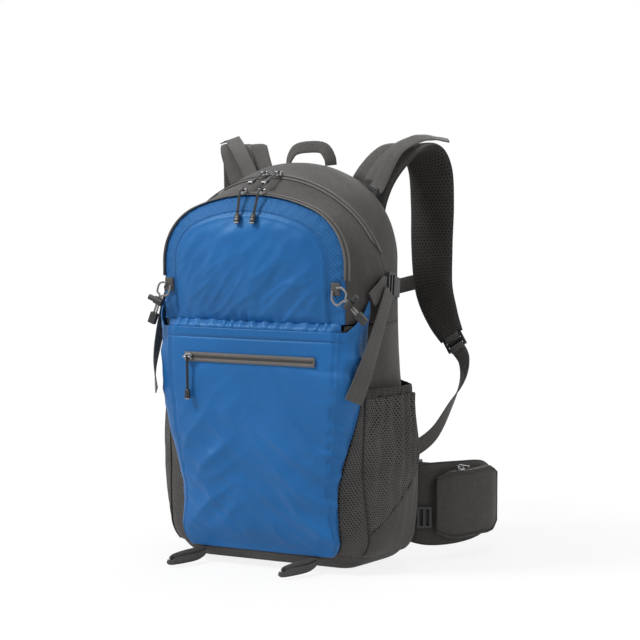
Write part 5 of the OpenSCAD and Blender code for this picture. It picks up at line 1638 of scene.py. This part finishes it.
def belt_points(drop):
    p = path(WING_PTS, 4)
    g = tangents(p)[-1]
    steps = [(50, 156, drop[0]), (22, 172, drop[1]), (-20, 182, drop[2]), (-62, 186, drop[2])]
    hanging = [(WING_X + x, WING_Y + y, WING_Z + z) for x, y, z in steps]
    return np.array([p[-1] + g * 1.4, p[-1] + g * 14, *hanging])


def build_wing(side, body, flip):
    """Padded wing of the hip belt with its binding."""
    p = path(WING_PTS, 9)
    ws = [WING_H * k for k in (0.9, 1, 1, 0.9, 0.6)]
    ts = [WING_T * 0.88 * k for k in (0.8, 1, 1, 1, 0.7)]
    wing, a, _, w, _, pins = pad_loft(f"hip_wing_{side}_made", p, UPRIGHT, ws, ts, ["air_mesh", "gray_pad"])
    mirror_mesh(wing, flip)
    placed(wing, body, "gray", f"hip_wing_{side}")
    pad_later(wing, pins, cap=1.4)
    placed(edge_binding(f"hip_binding_{side}", p, a * (w / 2 - 0.3), flip), body, "gray")


def build_belt_pocket(side, body, flip):
    """Padded pocket on a wing of the hip belt, with its piping, zip and stitches."""
    mid = path(beside(path(WING_PTS, 4), WING_T / 2 + BELT_POCKET_T / 2 + 0.4)[7:21], 4)
    ws = [POCKET_H * k for k in (0.82, 1, 1, 1, 1, 0.8)]
    ts = [BELT_POCKET_T * 0.9 * k for k in (0.5, 1, 1, 1, 1, 0.45)]
    pocket, a, b, w, t, pins = pad_loft(f"hip_pocket_{side}_made", mid, UPRIGHT, ws, ts,
                                        ["gray_pad", "gray_pad"], sides=40, edge=0.34, crown=0.6)
    mirror_mesh(pocket, flip)
    placed(pocket, body, "gray", f"hip_pocket_{side}")
    pad_later(pocket, pins, cap=2.2)
    upper, lower = (mid + a * w * k + b * t * 0.44 for k in (0.46, -0.46))
    rim = np.concatenate([upper, lower[::-1], upper[:2]])
    pipe = tube("pocket_piping", rim * flip, 1.2, "piping")
    zip_line = (mid + a * (w * 0.489 - 0.2))[9:-10] * flip
    tape = webbing("pocket_zip", zip_line, (b * flip)[9:-10], w=9, t=0.9, per=1, cloth="zip_tape")
    coil = teeth("pocket_coil", zip_line + [0, 0, 0.5], (0, 0, 1), spacing=1.5, size=(0.9, 3.0, 0.7))
    placed(joined(f"hip_pocket_trim_{side}", [pipe, tape, coil]), body, "gray")
    sew(body, "gray_thread", (mid + a * w * 0.4 + b * t * 0.5)[4:-4] * flip, (b * flip)[4:-4])


def build_hip(side, s, drop):
    flip, body = np.array([s, 1, 1]), f"hip_{side}"
    build_wing(side, body, flip)
    build_belt_pocket(side, body, flip)
    belt = webbing(f"hip_webbing_{side}_made", belt_points(drop) * flip, UPRIGHT, WEB_W)
    placed(belt, body, "webbing", f"hip_webbing_{side}")


# Fittings that keep the shape of their nodes
FITTINGS = {
    "black_plastic": ["compression_buckles", "ladder_locks", "sternum_socket", "sternum_plug",
                      "hip_lock_left", "hip_lock_right", "hip_buckle_socket", "hip_buckle_plug",
                      "cord_lock_barrels", "cord_lock_button_left", "cord_lock_button_right", "cord_ends"],
    "zip_metal": ["main_zip_slider_left", "main_zip_slider_right", "panel_zip_slider_left",
                  "panel_zip_slider_right", "stash_zip_slider", "hip_zip_slider_left",
                  "hip_zip_slider_right"],
    "stiff_sheet": ["frame_sheet"],
}


def build_fittings():
    for name, nodes in FITTINGS.items():
        for n in nodes:
            NODES[n].data.materials.clear()
            NODES[n].data.materials.append(FINISH[name])


def build_stitches():
    for (body, colour), seams in STITCHES.items():
        lines, ups = [s[0] for s in seams], [s[1] for s in seams]
        obj = row(f"stitches_{body}_{colour}", lines, ups, "Stitches", spacing=3.0,
                  size=(2.1, 0.55, 0.5), finish_name=colour)
        placed(obj, body, "webbing")


# Stage: lens and square sensor of the photo's camera in millimetres, its place in metres and its direction
LENS, SENSOR = 106.9, 36.0
CAMERA_PLACE, CAMERA_AIM = (1.14465, -2.14194, 0.50556), (-0.45359, 0.88755, -0.08072)


def plain_light(name, place, aim, size, power):
    lamp = bpy.data.lights.new(name, "AREA")
    lamp.shape = "DISK"
    lamp.size = size
    lamp.energy = power
    obj = bpy.data.objects.new(name, lamp)
    obj.location = place
    obj.rotation_euler = (Vector(aim) - Vector(place)).to_track_quat("-Z", "Y").to_euler()
    bpy.context.scene.collection.objects.link(obj)


def seen_rays(tree):
    """1 for rays that see the stage: from the camera, or by way of gloss or glass."""
    path_info = tree.nodes.new("ShaderNodeLightPath").outputs
    seen = calc(tree, "MAXIMUM", path_info["Is Camera Ray"], path_info["Is Glossy Ray"])
    return calc(tree, "MAXIMUM", seen, path_info["Is Transmission Ray"])


def white_surround(scene, fill):
    """White world that is seen at full strength and lights the scene with the fill alone."""
    world = bpy.data.worlds.new("Studio")
    scene.world = world
    world.use_nodes = True
    tree = world.node_tree
    sky = tree.nodes["Background"]
    sky.inputs["Color"].default_value = (1, 1, 1, 1)
    strength = tree.nodes.new("ShaderNodeMapRange")
    put(tree, seen_rays(tree), strength.inputs[0])
    strength.inputs[3].default_value = fill
    strength.inputs[4].default_value = 1.0
    put(tree, strength.outputs[0], sky.inputs["Strength"])


def white_floor():
    """Floor that takes shadows near the bag and runs out into plain white."""
    bpy.ops.mesh.primitive_plane_add(size=12, location=(0, 0, -0.0005))
    floor = bpy.context.object
    floor.name = "studio_floor"
    m = bpy.data.materials.new("studio_white")
    m.use_nodes = True
    tree = m.node_tree
    paint = tree.nodes["Principled BSDF"]
    paint.inputs["Base Color"].default_value = (0.86, 0.86, 0.86, 1)
    paint.inputs["Roughness"].default_value = 0.9
    paint.inputs["Specular IOR Level"].default_value = 0.0
    glow, mix = tree.nodes.new("ShaderNodeEmission"), tree.nodes.new("ShaderNodeMixShader")
    glow.inputs["Strength"].default_value = 1.02
    x, y, _ = parts_of(tree, tree.nodes.new("ShaderNodeTexCoord").outputs["Object"])
    away = calc(tree, "SQRT", plus(tree, calc(tree, "POWER", x, 2.0), calc(tree, "POWER", y, 2.0)))
    put(tree, times(tree, seen_rays(tree), fitted(tree, away, 0.3, 1.0, 0.84, 1.0)), mix.inputs[0])
    put(tree, paint.outputs[0], mix.inputs[1])
    put(tree, glow.outputs[0], mix.inputs[2])
    put(tree, mix.outputs[0], tree.nodes["Material Output"].inputs["Surface"])
    floor.data.materials.append(m)


def photo_camera(scene):
    lens = bpy.data.cameras.new("camera")
    lens.sensor_width = lens.sensor_height = SENSOR
    lens.sensor_fit = "HORIZONTAL"
    lens.lens = LENS
    lens.clip_end = 30
    camera = bpy.data.objects.new("camera", lens)
    forward = Vector(CAMERA_AIM).normalized()
    right = forward.cross(Vector((0, 0, 1))).normalized()
    turned = Matrix((right, right.cross(forward), -forward)).transposed().to_4x4()
    camera.matrix_world = Matrix.Translation(CAMERA_PLACE) @ turned
    scene.collection.objects.link(camera)
    scene.camera = camera


def build_stage(values):
    scene = bpy.context.scene
    scene.view_settings.view_transform = "Standard"
    white_surround(scene, values.fill)
    white_floor()
    plain_light("key", place=(-1.8, -1.7, 2.9), aim=(0, 0, 0.28), size=1.0, power=values.key)
    plain_light("side", place=(2.6, -0.7, 1.5), aim=(0, 0, 0.28), size=1.6, power=values.side)
    plain_light("top", place=(0.2, 0.5, 2.8), aim=(0, 0, 0.3), size=1.6, power=values.top)
    plain_light("rear", place=(-0.6, 2.6, 1.6), aim=(0, 0, 0.3), size=1.6, power=values.top * 0.7)
    photo_camera(scene)


# Settings that a user would change
class DaypackColours(bpy.types.PropertyGroup):
    """Colours of the daypack's cloths and trims."""

    blue: FloatVectorProperty(name="Blue cloth", description="Ripstop of the front panel and stash pocket",
                              subtype="COLOR", size=3, min=0, max=1, default=(0.012, 0.13, 0.4))
    gray: FloatVectorProperty(name="Gray cloth", description="Woven nylon of the body, straps and belt",
                              subtype="COLOR", size=3, min=0, max=1, default=(0.075, 0.07, 0.066))
    webbing: FloatVectorProperty(name="Webbing", description="Ribbed webbing of the straps and loops",
                                 subtype="COLOR", size=3, min=0, max=1, default=(0.1, 0.096, 0.092))
    tape: FloatVectorProperty(name="Zip tape", description="Coated tape of the zips",
                              subtype="COLOR", size=3, min=0, max=1, default=(0.165, 0.155, 0.145))
    elastic: FloatVectorProperty(name="Elastic cord", description="Braided cover of the bungees",
                                 subtype="COLOR", size=3, min=0, max=1, default=(0.28, 0.27, 0.26))


class DaypackStudio(bpy.types.PropertyGroup):
    """Light of the studio round the daypack."""

    fill: FloatProperty(name="Fill", description="Strength of the even light from all round",
                        default=0.16, min=0, max=2)
    key: FloatProperty(name="Key lamp", description="Power of the large lamp at the front left",
                       default=104.0, min=0, unit="POWER")
    side: FloatProperty(name="Side lamp", description="Power of the lamp at the right",
                        default=16.0, min=0, unit="POWER")
    top: FloatProperty(name="Top lamp", description="Power of the lamp overhead",
                       default=24.0, min=0, unit="POWER")


class PieceOperator:
    bl_options = {"REGISTER", "UNDO"}

    def execute(self, context):
        self.build(context)
        return {"FINISHED"}


class DAYPACK_OT_stage(PieceOperator, bpy.types.Operator):
    """Camera, floor, lamps and the shared finishes"""

    bl_idname = "daypack.stage"
    bl_label = "Stage and finishes"

    def build(self, context):
        build_stage(context.scene.daypack_studio)
        make_finishes(context.scene.daypack_colours)
        row_tree("Stitches", True)
        row_tree("Zip teeth", False)


class DAYPACK_OT_bungees(PieceOperator, bpy.types.Operator):
    """Elastic bungee loops and their tabs on the front panel"""

    bl_idname = "daypack.bungees"
    bl_label = "Bungees"

    def build(self, context):
        build_bungees()


class DAYPACK_OT_shell(PieceOperator, bpy.types.Operator):
    """Gray cloth of the bag: gussets, sides, base, back and lining"""

    bl_idname = "daypack.shell"
    bl_label = "Gray shell"

    def build(self, context):
        build_shell()


class DAYPACK_OT_front(PieceOperator, bpy.types.Operator):
    """Blue cloth of the arched front panel and the stash pocket"""

    bl_idname = "daypack.front"
    bl_label = "Front panel and stash pocket"

    def build(self, context):
        build_panel()
        build_stash()


class DAYPACK_OT_side_pockets(PieceOperator, bpy.types.Operator):
    """Mesh side pockets with gathered elastic hems"""

    bl_idname = "daypack.side_pockets"
    bl_label = "Side pockets"

    def build(self, context):
        build_side_pocket("right", 1)
        build_side_pocket("left", -1)


class DAYPACK_OT_zips(PieceOperator, bpy.types.Operator):
    """Zip tapes with their teeth, and the cord pulls"""

    bl_idname = "daypack.zips"
    bl_label = "Zips and pulls"

    def build(self, context):
        build_zips()
        build_pulls()


class DAYPACK_OT_harness(PieceOperator, bpy.types.Operator):
    """Padded shoulder straps, back pads and hip belt"""

    bl_idname = "daypack.harness"
    bl_label = "Straps, pads and belt"

    def build(self, context):
        build_straps()
        build_back_pads()
        build_hip("right", 1, drop=(4, 10, 12))
        build_hip("left", -1, drop=(-12, -28, -34))
        swell_pads()


class DAYPACK_OT_webbing(PieceOperator, bpy.types.Operator):
    """Webbing straps, haul loop and tool loops"""

    bl_idname = "daypack.webbing"
    bl_label = "Webbing"

    def build(self, context):
        build_webbing()


class DAYPACK_OT_fittings(PieceOperator, bpy.types.Operator):
    """Plastic and metal fittings, and all rows of stitches"""

    bl_idname = "daypack.fittings"
    bl_label = "Fittings and stitches"

    def build(self, context):
        build_fittings()
        build_stitches()


STEPS = (DAYPACK_OT_stage, DAYPACK_OT_bungees, DAYPACK_OT_shell, DAYPACK_OT_front, DAYPACK_OT_side_pockets,
         DAYPACK_OT_zips, DAYPACK_OT_harness, DAYPACK_OT_webbing, DAYPACK_OT_fittings)


class DAYPACK_PT_pieces(bpy.types.Panel):
    """Lists the daypack's pieces in the sidebar"""

    bl_label = "Daypack"
    bl_idname = "DAYPACK_PT_pieces"
    bl_space_type = "VIEW_3D"
    bl_region_type = "UI"
    bl_category = "Daypack"

    def draw(self, context):
        for group in (context.scene.daypack_colours, context.scene.daypack_studio):
            for key in group.__annotations__:
                self.layout.prop(group, key)
        for step in STEPS:
            self.layout.operator(step.bl_idname)


CLASSES = (DaypackColours, DaypackStudio, *STEPS, DAYPACK_PT_pieces)


def register():
    for c in CLASSES:
        bpy.utils.register_class(c)
    bpy.types.Scene.daypack_colours = PointerProperty(type=DaypackColours)
    bpy.types.Scene.daypack_studio = PointerProperty(type=DaypackStudio)


def unregister():
    del bpy.types.Scene.daypack_studio
    del bpy.types.Scene.daypack_colours
    for c in reversed(CLASSES):
        bpy.utils.unregister_class(c)


def main():
    register()
    for step in STEPS:
        group, name = step.bl_idname.split(".")
        getattr(getattr(bpy.ops, group), name)()
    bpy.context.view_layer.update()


if __name__ == "__main__":
    main()
